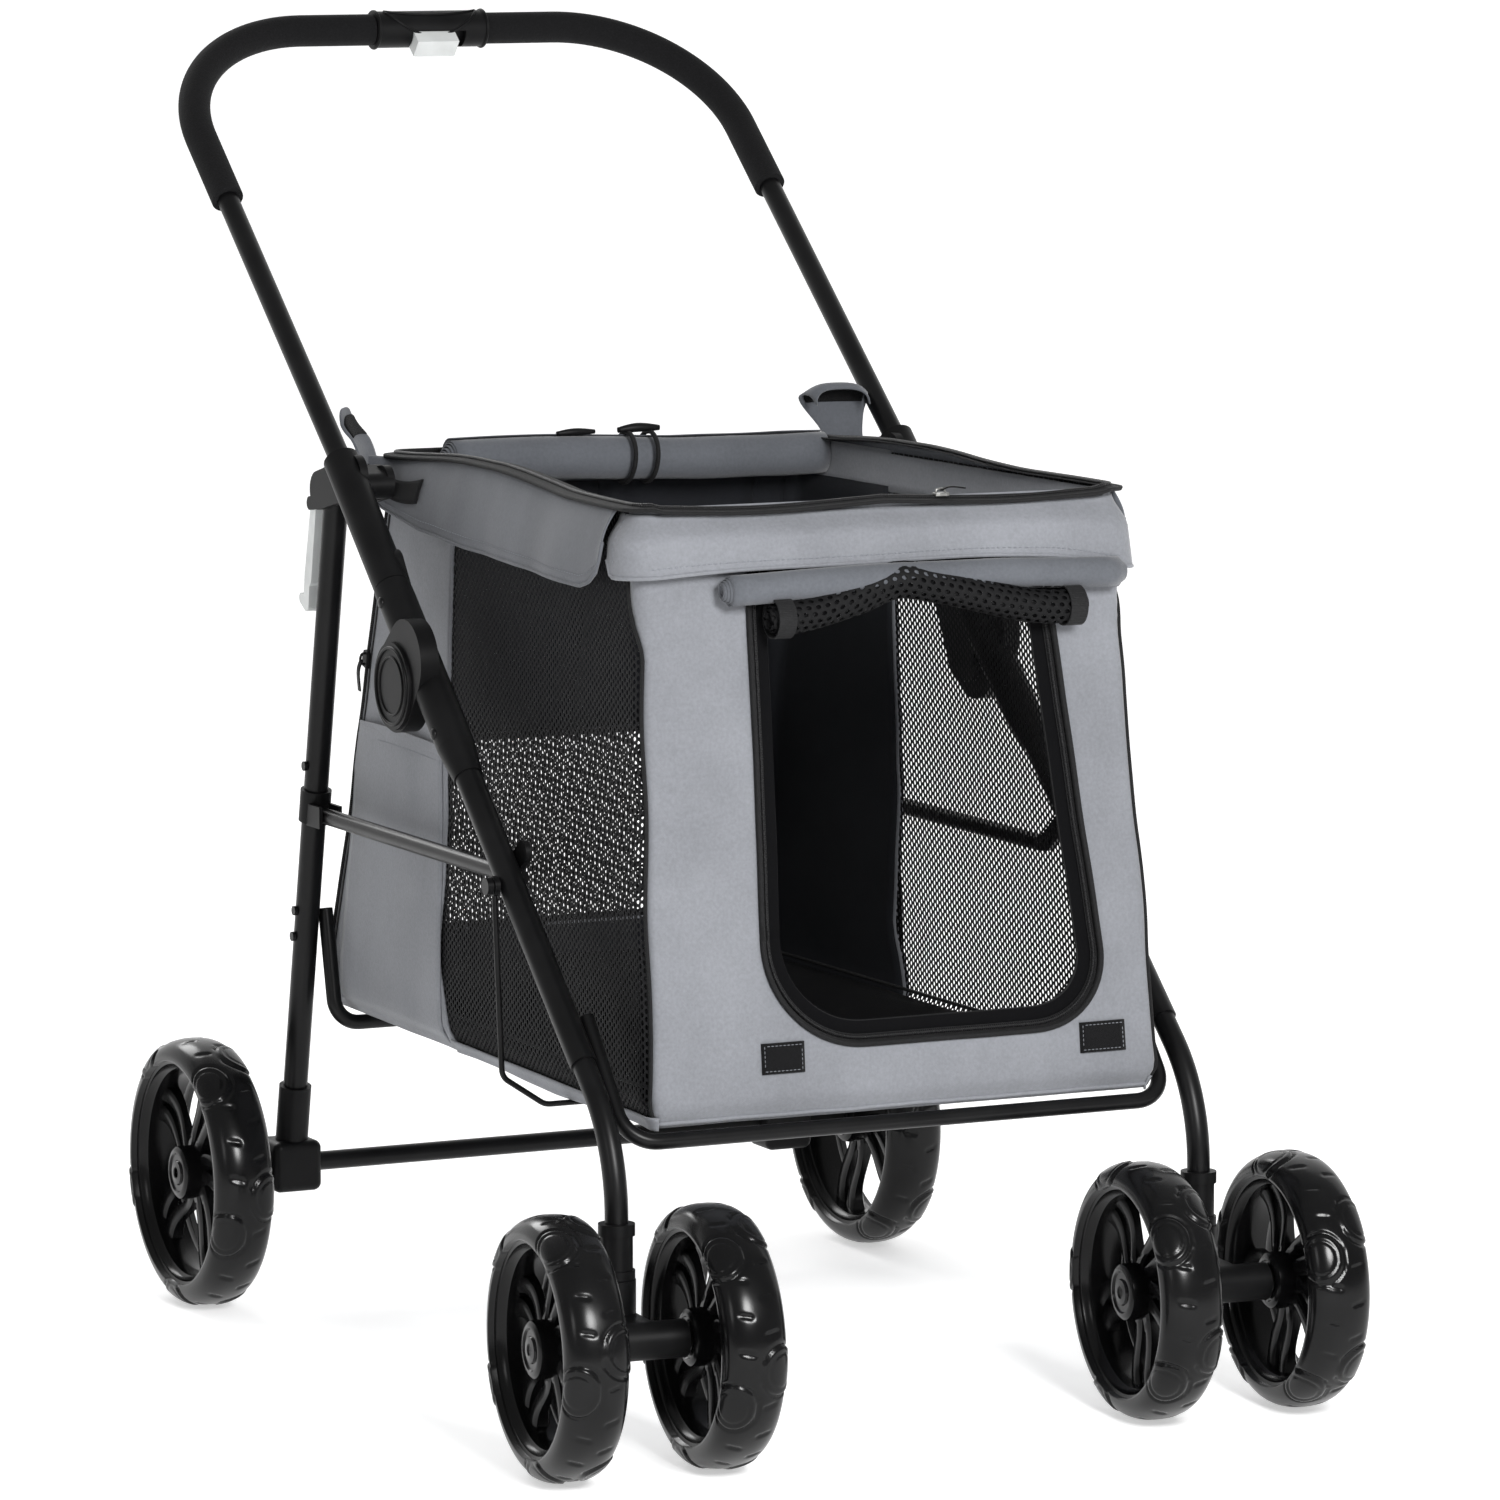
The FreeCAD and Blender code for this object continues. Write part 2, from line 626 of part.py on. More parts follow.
def build_handle():
    """Handle tube, foam grips, grip housing and release slider."""
    bend = dim("handle_corner")
    handle = swept_tube(
        handle_points(HANDLE_ROOT), [bend, bend], "handle_radius", "handle_radius - tube_wall"
    )
    keep(handle, "handle_tube")
    for word, side in SIDES:
        low = along(hub_point(side), HANDLE_DIR, dim("foam_reach"))
        corner = along(hub_point(side), HANDLE_DIR, dim("handle_length"))
        end = Vector(side * (dim("grip_half_length") + 0.5), corner.y, corner.z)
        grip = swept_tube([low, corner, end], [bend], "foam_radius", "handle_radius + 0.05")
        keep(grip, "foam_grip_" + word)

    middle = along(Vector(0, dim("hub_y"), dim("hub_z")), HANDLE_DIR, dim("handle_length"))
    half = dim("grip_half_length")
    facing_cabin = Rotation(X_AXIS, dim("handle_incline") + 90)
    at_grip = FreeCAD.Placement(middle, facing_cabin)
    shell = ring(middle - X_AXIS * half, X_AXIS, "grip_radius", "handle_radius + 0.05", 2 * half)
    cabin_half = box((-half - 1, -40, 0), (half + 1, 40, 40))
    cabin_half.Placement = at_grip.multiply(cabin_half.Placement)
    inner_half = doc.addObject("Part::Common", "inner_half")
    inner_half.Base = shell
    inner_half.Tool = cabin_half
    slot = box((-17.5, -7.9, 8), (26.5, 7.9, 30))
    slot.Placement = at_grip.multiply(slot.Placement)
    keep(cut(inner_half, slot), "grip_housing_inner")
    keep(cut(shell, cabin_half), "grip_housing_outer")
    slider = box((-17, -7.5, 8.8), (17, 7.5, 23))
    slider.Placement = at_grip.multiply(slider.Placement)
    keep(slider, "release_slider")


def build_hubs():
    """Hub castings: barrel for the handle arm, clevis for the rear leg, arm to the fold pivot."""
    plane = dim("handle_x")
    leg_plane = dim("rear_leg_x")
    hub = hub_point(1)
    barrel = cylinder(along(hub, LEG_DIR, -16), LEG_DIR, 13, 16 + 108)
    seat = cylinder(along(hub, HANDLE_DIR, HANDLE_ROOT), HANDLE_DIR, dim("handle_radius") + 0.05, 60)
    shoulder = sideways(hub, 0)
    outer_cheek = belt_plate(
        "outer_cheek", REAR_PIVOT, 14, shoulder, 15, leg_plane + 9.5, plane - 4, 1
    )
    inner_cheek = belt_plate(
        "inner_cheek", REAR_PIVOT, 14, shoulder + Vector(0, 8, -6), 12,
        leg_plane - 16, leg_plane - 10.5, 1,
    )
    web = belt_plate(
        "web", shoulder + Vector(0, 22, -2), 7.5, shoulder + Vector(0, 4, -8), 9.5,
        leg_plane - 15, plane - 6, 1,
    )
    arm_root = sideways(along(hub, LEG_DIR, 88), 0)
    fold_arm = belt_plate("fold_arm", FOLD_PIVOT, 20, arm_root, 12, plane - 11, plane - 1, 1)
    pin_hole = cross_pin(FOLD_PIVOT, 5.08, plane - 12, plane + 1, 1)
    leg_pin = cross_pin(REAR_PIVOT, 5, leg_plane - 11, plane - 5, 1)
    casting = cut(fuse(barrel, outer_cheek, inner_cheek, web, fold_arm), fuse(seat, pin_hole))
    hub_shell = fuse(casting, leg_pin)
    keep(mirrored(hub_shell), "hub_shell_left")
    keep(hub_shell, "hub_shell_right")


# ---------------------------------------------------------------- front frame


def build_front_legs():
    """Front legs with their moulded sockets, pivot covers and link tabs."""
    bend = dim("leg_bend")
    plane = dim("handle_x")
    covers = []
    for word, side in SIDES:
        hub = hub_point(side)
        corner_reach = (hub.y - dim("caster_y")) / math.cos(leg_angle)
        corner = along(hub, LEG_DIR, corner_reach)
        upper_start = along(hub, LEG_DIR, LEG_TOP)
        upper = ring(upper_start, LEG_DIR, "upper_leg_radius", "lower_leg_radius", 545 - LEG_TOP)
        foot_bottom = Vector(corner.x, corner.y, 149.5)
        foot = swept_tube(
            [along(hub, LEG_DIR, 500), corner, foot_bottom], [bend],
            "lower_leg_radius", "lower_leg_radius - tube_wall",
        )
        tab = belt_plate(
            "link_tab_" + word, LINK_FRONT, 7, LINK_FRONT + Vector(0, -30, 22), 8,
            plane - 13, plane - 9, side,
        )
        keep(fuse(upper, foot, tab), "front_leg_" + word)
        covers.append(cross_pin(FOLD_PIVOT, 31, plane + 13.55, plane + 16, side))
    keep(group(*covers), "pivot_covers")

    hub = hub_point(-1)
    barrel = cylinder(along(hub, LEG_DIR, 109), LEG_DIR, 13.5, 150)
    tip = doc.addObject("Part::Cone", "tip")
    tip.Radius1 = 13.5
    tip.Radius2 = 10.5
    tip.Height = 28
    tip.Placement = FreeCAD.Placement(along(hub, LEG_DIR, 259), aim(LEG_DIR))
    house_root = sideways(along(hub, LEG_DIR, 178), 0)
    house = belt_plate("house", FOLD_PIVOT, 33, house_root, 30, plane - 0.2, plane + 13.5, -1)
    tube_seat = cylinder(
        along(hub, LEG_DIR, LEG_TOP), LEG_DIR, dim("upper_leg_radius") + 0.05, 400 - LEG_TOP
    )
    arm_root = sideways(along(hub, LEG_DIR, 88), 0)
    arm_space = belt_plate("arm_space", FOLD_PIVOT, 20.8, arm_root, 14, plane - 15, plane - 0.2, -1)
    pin = cross_pin(FOLD_PIVOT, 5, plane - 11, plane, -1)
    socket = fuse(cut(fuse(barrel, tip, house), fuse(tube_seat, arm_space)), pin)
    keep(socket, "leg_socket_left")
    keep(mirrored(socket), "leg_socket_right")


def build_links():
    """Side links between the rear legs and the front legs."""
    for word, side in SIDES:
        x_place = side * dim("rear_leg_x")
        start = sideways(LINK_REAR, x_place) + Vector(0, 5, 0)
        length = LINK_REAR.y + 5 - LINK_FRONT.y + 6
        bar = cylinder(start, Y_AXIS * -1, "link_radius", length)
        hole = cross_pin(LINK_REAR, 2.58, dim("rear_leg_x") - 8, dim("rear_leg_x") + 8, side)
        keep(cut(bar, hole), "side_link_" + word)


def build_supports():
    """Front support bar, wire cradle and its bolts."""
    bar_x = dim("handle_x") - dim("upper_leg_radius") - dim("support_bar_radius") - 0.6
    hub = hub_point(1)
    high = along(hub, LEG_DIR, 505)
    low_z = dim("cabin_floor_z") - dim("support_bar_radius") - 3
    low = Vector(0, -345, low_z)
    points = [
        Vector(-bar_x, high.y, high.z),
        Vector(-bar_x, low.y, low.z),
        Vector(bar_x, low.y, low.z),
        Vector(bar_x, high.y, high.z),
    ]
    keep(swept_rod(points, [24, 24], "support_bar_radius"), "front_support_bar")

    wire_x = dim("handle_x") + 13
    bolt_point = sideways(along(hub, LEG_DIR, 385), 0)
    wire_low = dim("cabin_floor_z") - dim("cradle_radius") - 2.5
    wire_y = bolt_point.y - 12
    wire_points = [
        Vector(-wire_x, bolt_point.y, bolt_point.z),
        Vector(-wire_x, wire_y, wire_low + 22),
        Vector(-202, wire_y + 3, wire_low),
        Vector(202, wire_y + 3, wire_low),
        Vector(wire_x, wire_y, wire_low + 22),
        Vector(wire_x, bolt_point.y, bolt_point.z),
    ]
    cradle = swept_rod(wire_points, [10, 14, 14, 10], "cradle_radius")
    eyelets = []
    bolt_room = []
    bolts = []
    for word, side in SIDES:
        shank = cross_pin(bolt_point, 3, dim("handle_x") + 9.55, wire_x + 4, side)
        head = cross_pin(bolt_point, 6, wire_x + 2.5, wire_x + 7, side)
        bolts.append(fuse(shank, head))
        eyelets.append(cross_pin(bolt_point, 7, wire_x - 2, wire_x + 2, side))
        bolt_room.append(cross_pin(bolt_point, 3.1, wire_x - 9, wire_x + 9, side))
    keep(cut(fuse(cradle, *eyelets), fuse(*bolt_room)), "wire_cradle")
    keep(group(*bolts), "cradle_bolts")


# ---------------------------------------------------------------- cabin


def cabin_volume(name, front, rear, left, right):
    """The cabin's tapered volume with each wall moved in by an inset."""
    floor_z = dim("cabin_floor_z")
    rim_z = dim("cabin_rim_z")
    narrowing = dim("cabin_front_half") - dim("cabin_rear_half")
    depth = dim("cabin_rear_low") - dim("cabin_front_low")
    sections = []
    for level, front_place, rear_place, taper in (
        (floor_z, dim("cabin_front_low"), dim("cabin_rear_low"), 0),
        (rim_z, dim("cabin_front_high"), dim("cabin_rear_high"), dim("cabin_taper")),
    ):
        front_half = dim("cabin_front_half") - taper - narrowing * front / depth
        rear_step = rear_place - rear - front_place
        rear_half = dim("cabin_front_half") - taper - narrowing * rear_step / depth
        corners = [
            (-front_half + left, front_place + front),
            (front_half - right, front_place + front),
            (rear_half - right, rear_place - rear),
            (-rear_half + left, rear_place - rear),
        ]
        section = doc.addObject("Sketcher::SketchObject", name + "_section")
        section.Placement.Base = Vector(0, 0, level)
        draw_polygon(section, corners)
        sections.append(section)
    loft = doc.addObject("Part::Loft", name)
    loft.Sections = sections
    loft.Solid = True
    loft.Ruled = True
    return loft


def front_lean():
    """How far the front wall moves back for each mm of height."""
    rise = dim("cabin_rim_z") - dim("cabin_floor_z")
    return (dim("cabin_front_high") - dim("cabin_front_low")) / rise


def front_y(z_place):
    """The front wall's outer face at a height."""
    return dim("cabin_front_low") + front_lean() * (z_place - dim("cabin_floor_z"))


def door_cutter():
    """A prism through the front wall, with rounded lower corners."""
    body = new_body("door_cutter")
    sketch = new_sketch(body, "XZ_Plane", 0)
    left = dim("door_left")
    right = dim("door_right")
    low = dim("door_low")
    high = dim("door_high")
    corner = dim("door_corner")
    diagonal = corner * (1 - math.sqrt(0.5))
    sketch.addGeometry(
        [
            Part.LineSegment(Vector(left, high, 0), Vector(left, low + corner, 0)),
            Part.Arc(
                Vector(left, low + corner, 0), Vector(left + diagonal, low + diagonal, 0),
                Vector(left + corner, low, 0),
            ),
            Part.LineSegment(Vector(left + corner, low, 0), Vector(right - corner, low, 0)),
            Part.Arc(
                Vector(right - corner, low, 0), Vector(right - diagonal, low + diagonal, 0),
                Vector(right, low + corner, 0),
            ),
            Part.LineSegment(Vector(right, low + corner, 0), Vector(right, high, 0)),
            Part.LineSegment(Vector(right, high, 0), Vector(left, high, 0)),
        ],
        False,
    )
    pad(body, sketch, 500)
    return body


def build_cabin():
    """Cabin walls shaved one after another from the cabin's volume, floor, cushion and flaps."""
    cloth = dim("cloth")
    whole = cabin_volume("cabin_whole", 0, 0, 0, 0)
    no_front = cabin_volume("cabin_no_front", cloth, 0, 0, 0)
    no_rear = cabin_volume("cabin_no_rear", cloth, cloth, 0, 0)
    no_left = cabin_volume("cabin_no_left", cloth, cloth, cloth, 0)
    inside = cabin_volume("cabin_inside", cloth, cloth, cloth, cloth)
    keep(cut(cut(whole, no_front), door_cutter()), "front_panel")
    keep(cut(no_front, no_rear), "rear_panel")
    keep(cut(no_rear, no_left), "side_panel_left")
    keep(cut(no_left, inside), "side_panel_right")

    floor_z = dim("cabin_floor_z")
    board_top = floor_z + 5
    cushion_top = board_top + 20
    board_slab = box((-300, -400, floor_z), (300, 400, board_top))
    board = doc.addObject("Part::Common", "board")
    board.Base = cabin_volume("cabin_board", cloth, cloth, cloth, cloth)
    board.Tool = board_slab
    keep(board, "floor_board")
    cushion_slab = box((-300, -400, board_top + 0.3), (300, 400, cushion_top))
    cushion = doc.addObject("Part::Common", "cushion")
    room = cloth + 3
    cushion.Base = cabin_volume("cabin_cushion", room, room, room, room)
    cushion.Tool = cushion_slab
    keep(cushion, "floor_cushion")


def build_flaps():
    """Flaps that hang outside the rim, and the rolled cover, door and mesh."""
    rim_z = dim("cabin_rim_z")
    flap_z = 582
    proud = 6
    gap = 1
    sheet_volume = cabin_volume("flap_outer", -proud, 0, -proud, -proud)
    flap_hole = cabin_volume("flap_inner", -gap, 0, -gap, -gap)
    shell = cut(sheet_volume, flap_hole)
    front_slab = box((-230, -400, flap_z), (230, dim("cabin_front_high") + 2, rim_z))
    front_flap = doc.addObject("Part::Common", "front_flap_solid")
    front_flap.Base = shell
    front_flap.Tool = front_slab
    keep(front_flap, "front_flap")
    side_slab = box((-230, dim("cabin_front_high") + 4, flap_z), (230, 118, rim_z))
    side_flaps = doc.addObject("Part::Common", "side_flaps_solid")
    side_flaps.Base = shell
    side_flaps.Tool = side_slab
    keep(side_flaps, "side_flaps")

    cover = ring(Vector(-145, 112, 634), X_AXIS, 17, 5, 300)
    keep(cover, "top_cover_roll")
    door_z = 584
    door_roll = ring(Vector(-128, front_y(door_z) - 18, door_z - 4), X_AXIS, 10.5, 3, 306)
    keep(door_roll, "door_roll")
    mesh_z = 560
    mesh_roll = ring(Vector(-95, front_y(mesh_z) - 16.5, mesh_z - 2), X_AXIS, 9.5, 3, 240)
    keep(mesh_roll, "mesh_roll")


# ---------------------------------------------------------------- build, check and write


def check_document():
    """Stop when any object failed or any sub-part is not a valid solid."""
    for obj in doc.Objects:
        if "Invalid" in obj.State or "Error" in obj.State:
            raise RuntimeError("failed object: %s (%s)" % (obj.Name, obj.Label))
    for obj in subparts:
        shape = obj.Shape
        if shape.isNull() or not shape.isValid() or not shape.Solids:
            raise RuntimeError("bad shape: %s" % obj.Label)
        if any(solid.Volume <= 0 for solid in shape.Solids):
            raise RuntimeError("inside out: %s" % obj.Label)


build_rear_wheels()
for side_word, side_sign in SIDES:
    build_caster(side_word, side_sign)
build_rear_frame()
build_brakes()
build_latch()
build_handle()
build_hubs()
build_front_legs()
build_links()
build_supports()
build_cabin()
build_flaps()
doc.recompute()
check_document()

os.makedirs("parts", exist_ok=True)
for subpart in subparts:
    subpart.Shape.exportStep("parts/%s.step" % subpart.Label)
print("%d sub-parts written" % len(subparts))
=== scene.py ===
import math

import bpy
from mathutils import Matrix, Vector, noise


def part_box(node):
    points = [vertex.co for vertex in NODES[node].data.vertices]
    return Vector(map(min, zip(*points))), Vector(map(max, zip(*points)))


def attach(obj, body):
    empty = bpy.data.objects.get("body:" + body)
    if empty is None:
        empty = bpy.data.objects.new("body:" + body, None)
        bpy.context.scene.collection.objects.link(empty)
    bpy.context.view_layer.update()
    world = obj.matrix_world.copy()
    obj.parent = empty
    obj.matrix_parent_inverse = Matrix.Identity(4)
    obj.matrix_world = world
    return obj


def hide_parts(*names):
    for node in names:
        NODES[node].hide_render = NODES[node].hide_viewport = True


# Folding pet stroller. Shapes are written in millimetres in the CAD's own frame:
# +X to the right seen from the front, +Y to the back, +Z up, floor at z = 0.
MM = 0.001
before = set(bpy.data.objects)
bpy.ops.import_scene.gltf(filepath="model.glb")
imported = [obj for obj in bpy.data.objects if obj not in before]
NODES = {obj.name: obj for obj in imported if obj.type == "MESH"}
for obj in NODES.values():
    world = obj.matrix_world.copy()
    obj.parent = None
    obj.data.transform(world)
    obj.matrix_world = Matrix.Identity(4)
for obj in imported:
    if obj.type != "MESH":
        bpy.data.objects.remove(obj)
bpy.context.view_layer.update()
SIDES = (("left", -1), ("right", 1))


# ------------------------------------------------------------------ materials


class Look:
    """A node material with one Principled shader, and short ways to add nodes to it."""

    def __init__(self, name, color, roughness, metallic=0.0, sheen=0.0, specular=0.5):
        self.material = bpy.data.materials.new(name)
        self.material.use_nodes = True
        self.nodes = self.material.node_tree.nodes
        self.links = self.material.node_tree.links
        self.inputs = self.nodes["Principled BSDF"].inputs
        self.inputs["Base Color"].default_value = (*color, 1)
        self.inputs["Roughness"].default_value = roughness
        self.inputs["Metallic"].default_value = metallic
        self.inputs["Sheen Weight"].default_value = sheen
        self.inputs["Sheen Roughness"].default_value = 0.45
        self.inputs["Specular IOR Level"].default_value = specular

    def math(self, operation, *values):
        """A Math node whose inputs are sockets or numbers; returns its output."""
        node = self.nodes.new("ShaderNodeMath")
        node.operation = operation
        for socket, value in zip(node.inputs, values):
            if isinstance(value, (int, float)):
                socket.default_value = value
            else:
                self.links.new(value, socket)
        return node.outputs[0]

    def noise(self, scale, detail=3.0, rough=0.55):
        """Noise in object space, the same on every piece; returns its output."""
        coords = self.nodes.new("ShaderNodeTexCoord")
        texture = self.nodes.new("ShaderNodeTexNoise")
        texture.inputs["Scale"].default_value = scale
        texture.inputs["Detail"].default_value = detail
        texture.inputs["Roughness"].default_value = rough
        self.links.new(coords.outputs["Object"], texture.inputs["Vector"])
        return texture.outputs["Fac"]

    def flat_place(self):
        """The two coordinates of the UV map, which is in metres."""
        coords = self.nodes.new("ShaderNodeTexCoord")
        split = self.nodes.new("ShaderNodeSeparateXYZ")
        self.links.new(coords.outputs["UV"], split.inputs[0])
        return split.outputs[0], split.outputs[1]

    def color_from(self, value, low, high, at_low=0.35, at_high=0.65):
        """Base colour from a ramp between two colours."""
        node = self.nodes.new("ShaderNodeValToRGB")
        node.color_ramp.elements[0].position = at_low
        node.color_ramp.elements[0].color = (*low, 1)
        node.color_ramp.elements[1].position = at_high
        node.color_ramp.elements[1].color = (*high, 1)
        self.links.new(value, node.inputs["Fac"])
        self.links.new(node.outputs["Color"], self.inputs["Base Color"])

    def bump(self, height, strength, distance):
        """Bump from a height socket into the shader's normal."""
        node = self.nodes.new("ShaderNodeBump")
        node.inputs["Strength"].default_value = strength
        node.inputs["Distance"].default_value = distance
        self.links.new(height, node.inputs["Height"])
        self.links.new(node.outputs["Normal"], self.inputs["Normal"])


def brighter(color, factor, extra=0.0):
    """A colour times a factor."""
    return tuple(min(1.0, c * factor + extra) for c in color)


def plastic(name, color, roughness, grain=900.0, grain_depth=0.00006, specular=0.3, metallic=0.0):
    """Moulded plastic, coating or cast metal: fine grain, slightly uneven gloss."""
    look = Look(name, color, roughness, metallic, specular=specular)
    fine = look.noise(grain, 2.0)
    broad = look.noise(22.0, 4.0)
    look.color_from(broad, color, brighter(color, 1.25, 0.002))
    look.links.new(look.math("MULTIPLY_ADD", broad, 0.14, roughness - 0.07), look.inputs["Roughness"])
    look.bump(fine, 0.35, grain_depth)
    return look.material


def woven(name, color, thread, sheen=0.25, depth=0.00016, melange=0.12, specular=0.25):
    """Plain-woven cloth, threads and slubs in two greys."""
    look = Look(name, color, 0.86, sheen=sheen, specular=specular)
    u, v = look.flat_place()
    turns = 2 * math.pi / thread
    across = look.math("SINE", look.math("MULTIPLY", u, turns))
    along = look.math("SINE", look.math("MULTIPLY", v, turns))
    slub = look.noise(420.0, 2.0)
    broad = look.noise(9.0, 5.0)
    mixed = look.math("MULTIPLY_ADD", slub, 0.5, broad)
    look.color_from(mixed, brighter(color, 1 - melange), brighter(color, 1 + melange), 0.45, 1.0)
    weave = look.math("MULTIPLY", across, along)
    look.bump(look.math("MULTIPLY_ADD", weave, 0.5, slub), 0.6, depth)
    return look.material


def netting(name, color, pitch, openness, stretch=1.3):
    """Open knitted mesh: upright holes on a hexagonal lattice; a lower openness leaves larger holes."""
    look = Look(name, color, 0.7, specular=0.15)
    u, v = look.flat_place()
    wave_number = 4 * math.pi / (math.sqrt(3) * pitch)
    waves = []
    for angle in (0, 60, 120):
        cos_part = math.cos(math.radians(angle)) * wave_number
        sin_part = math.sin(math.radians(angle)) * wave_number
        across = look.math("MULTIPLY", u, cos_part)
        along = look.math("MULTIPLY", v, sin_part / stretch)
        waves.append(look.math("COSINE", look.math("ADD", across, along)))
    total = look.math("ADD", look.math("ADD", waves[0], waves[1]), waves[2])
    sharp = look.math("MULTIPLY", look.math("SUBTRACT", total, openness), 3.0)
    sharp.node.use_clamp = True
    look.links.new(look.math("SUBTRACT", 1.0, sharp), look.inputs["Alpha"])
    look.bump(look.math("MULTIPLY", total, -0.3), 0.7, 0.0006)
    return look.material


def ribbed(name, color, pitch, roughness=0.7, depth=0.0003):
    """Webbing, zipper tape and binding: fine ribs along the UV's length."""
    look = Look(name, color, roughness, sheen=0.03, specular=0.22)
    u, _ = look.flat_place()
    ribs = look.math("SINE", look.math("MULTIPLY", u, 2 * math.pi / pitch))
    grain = look.noise(500.0, 2.0)
    look.color_from(grain, color, brighter(color, 1.5))
    look.bump(look.math("MULTIPLY_ADD", ribs, 0.5, grain), 0.7, depth)
    return look.material


def foam(name, color):
    """Closed-cell foam: small pores and a dull skin."""
    look = Look(name, color, 0.95, sheen=0.04, specular=0.12)
    pores = look.noise(700.0, 4.0, 0.7)
    look.color_from(pores, color, brighter(color, 1.6), 0.4, 0.7)
    look.bump(pores, 0.8, 0.0005)
    return look.material


def fuzzy(name, color):
    """Hook-and-loop patch: a dense nap."""
    look = Look(name, color, 0.95, sheen=0.05, specular=0.08)
    nap = look.noise(1500.0, 3.0, 0.8)
    look.color_from(nap, color, brighter(color, 1.8))
    look.bump(nap, 0.9, 0.0008)
    return look.material


M_GREY = woven("grey_polyester", (0.196, 0.203, 0.221), 0.0011, melange=0.2)
# a darker copy of the grey fabric: painted shade on the rolled cover, rolled door, side flaps and rear
# straps, which are the same cloth
M_GREY_PAINTED_SHADE = woven("grey_polyester_painted_shade", (0.098, 0.104, 0.117), 0.0011, melange=0.2)
M_LINING = woven("black_lining", (0.016, 0.017, 0.020), 0.0010, sheen=0.02, specular=0.1)
M_CUSHION = woven("cushion_cloth", (0.004, 0.004, 0.0045), 0.0012, sheen=0.0, specular=0.05)
M_NET = netting("side_netting", (0.011, 0.011, 0.012), 0.0042, -0.08)
M_ROLLNET = netting("rolled_netting", (0.006, 0.006, 0.0065), 0.0055, 0.7)
M_TAPE = ribbed("zipper_tape", (0.008, 0.008, 0.0085), 0.0012)
M_COIL = ribbed("zipper_coil", (0.007, 0.007, 0.0075), 0.0016, 0.35, 0.0006)
M_BINDING = ribbed("binding", (0.007, 0.007, 0.0075), 0.0009)
M_HOOK = fuzzy("hook_patch", (0.006, 0.006, 0.0065))
M_THREAD = plastic("grey_thread", (0.20, 0.21, 0.23), 0.7)
M_TUBE = plastic("powder_coat", (0.003, 0.003, 0.0033), 0.34, 1400.0, 0.00005, 0.2)
M_MOULDED = plastic("black_moulding", (0.0035, 0.0035, 0.0038), 0.44, 1100.0, 0.00008, 0.14)
M_WHEEL = plastic("wheel_black", (0.002, 0.002, 0.0022), 0.2, 700.0, 0.00003, 0.2)
M_TYRE = plastic("tyre_black", (0.002, 0.002, 0.0022), 0.22, 500.0, 0.00003, 0.22)
M_FOAM = foam("grip_foam", (0.007, 0.007, 0.0075))
M_LIGHT = plastic("pale_plastic", (0.56, 0.575, 0.57), 0.45, specular=0.5)
M_SLIDER = plastic("zipper_slider", (0.28, 0.28, 0.27), 0.35, specular=0.5, metallic=1.0)


# ------------------------------------------------------------------ mesh building


def mesh_object(name, verts, faces, material, uvs=None, smooth=True, body="front_frame"):
    """A mesh from millimetre vertices; uvs is one (u, v) in millimetres per vertex."""
    mesh = bpy.data.meshes.new(name)
    mesh.from_pydata([Vector(v) * MM for v in verts], [], faces)
    mesh.validate()
    if uvs is not None:
        layer = mesh.uv_layers.new(name="UVMap")
        for loop in mesh.loops:
            u, v = uvs[loop.vertex_index]
            layer.data[loop.index].uv = (u * MM, v * MM)
    mesh.polygons.foreach_set("use_smooth", [smooth] * len(mesh.polygons))
    obj = bpy.data.objects.new(name, mesh)
    bpy.context.scene.collection.objects.link(obj)
    obj.data.materials.append(material)
    if body:
        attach(obj, body)
    return obj


def quads(rows, cols, base=0, loop_rows=False, loop_cols=False):
    """Faces of a lattice of vertices numbered along its rows, closed on itself either way."""
    faces = []
    for i in range(rows if loop_rows else rows - 1):
        near = base + i * cols
        far = base + (i + 1) % rows * cols
        for k in range(cols if loop_cols else cols - 1):
            m = (k + 1) % cols
            faces.append((near + k, near + m, far + m, far + k))
    return faces


def modifier(obj, kind, **settings):
    """Adds a modifier and sets its options."""
    mod = obj.modifiers.new(kind.lower(), kind)
    for key, value in settings.items():
        setattr(mod, key, value)
    return mod


def thicken(obj, thickness, offset=-1.0):
    """Gives a surface a thickness in millimetres."""
    return modifier(obj, "SOLIDIFY", thickness=thickness * MM, offset=offset)


def grid(name, point, nu, nv, material, thickness=0, offset=-1.0):
    """A surface from point(u, v), u and v from 0 to 1, with a UV map in true lengths."""
    cols = nu + 1
    verts = [Vector(point(i / nu, j / nv)) for j in range(nv + 1) for i in range(cols)]
    uvs = []
    down = [0.0] * cols
    for index, vert in enumerate(verts):
        i = index % cols
        run = run + (vert - verts[index - 1]).length if i else 0.0
        if index >= cols:
            down[i] += (vert - verts[index - cols]).length
        uvs.append((run, down[i]))
    obj = mesh_object(name, verts, quads(nv + 1, cols), material, uvs)
    if thickness:
        thicken(obj, thickness, offset)
    return obj


def frames_along(points, closed=False):
    """Tangent, normal and binormal carried along a polyline without twisting."""
    count = len(points)
    tangents = []
    for i in range(count):
        before = points[i - 1] if i or closed else points[i]
        after = points[(i + 1) % count] if i < count - 1 or closed else points[i]
        tangents.append((after - before).normalized())
    seed = Vector((0, 0, 1)) if abs(tangents[0].z) < 0.9 else Vector((1, 0, 0))
    normal = (seed - tangents[0] * seed.dot(tangents[0])).normalized()
    result = []
    for tangent in tangents:
        normal = (normal - tangent * normal.dot(tangent)).normalized()
        result.append((tangent, normal, tangent.cross(normal)))
    return result


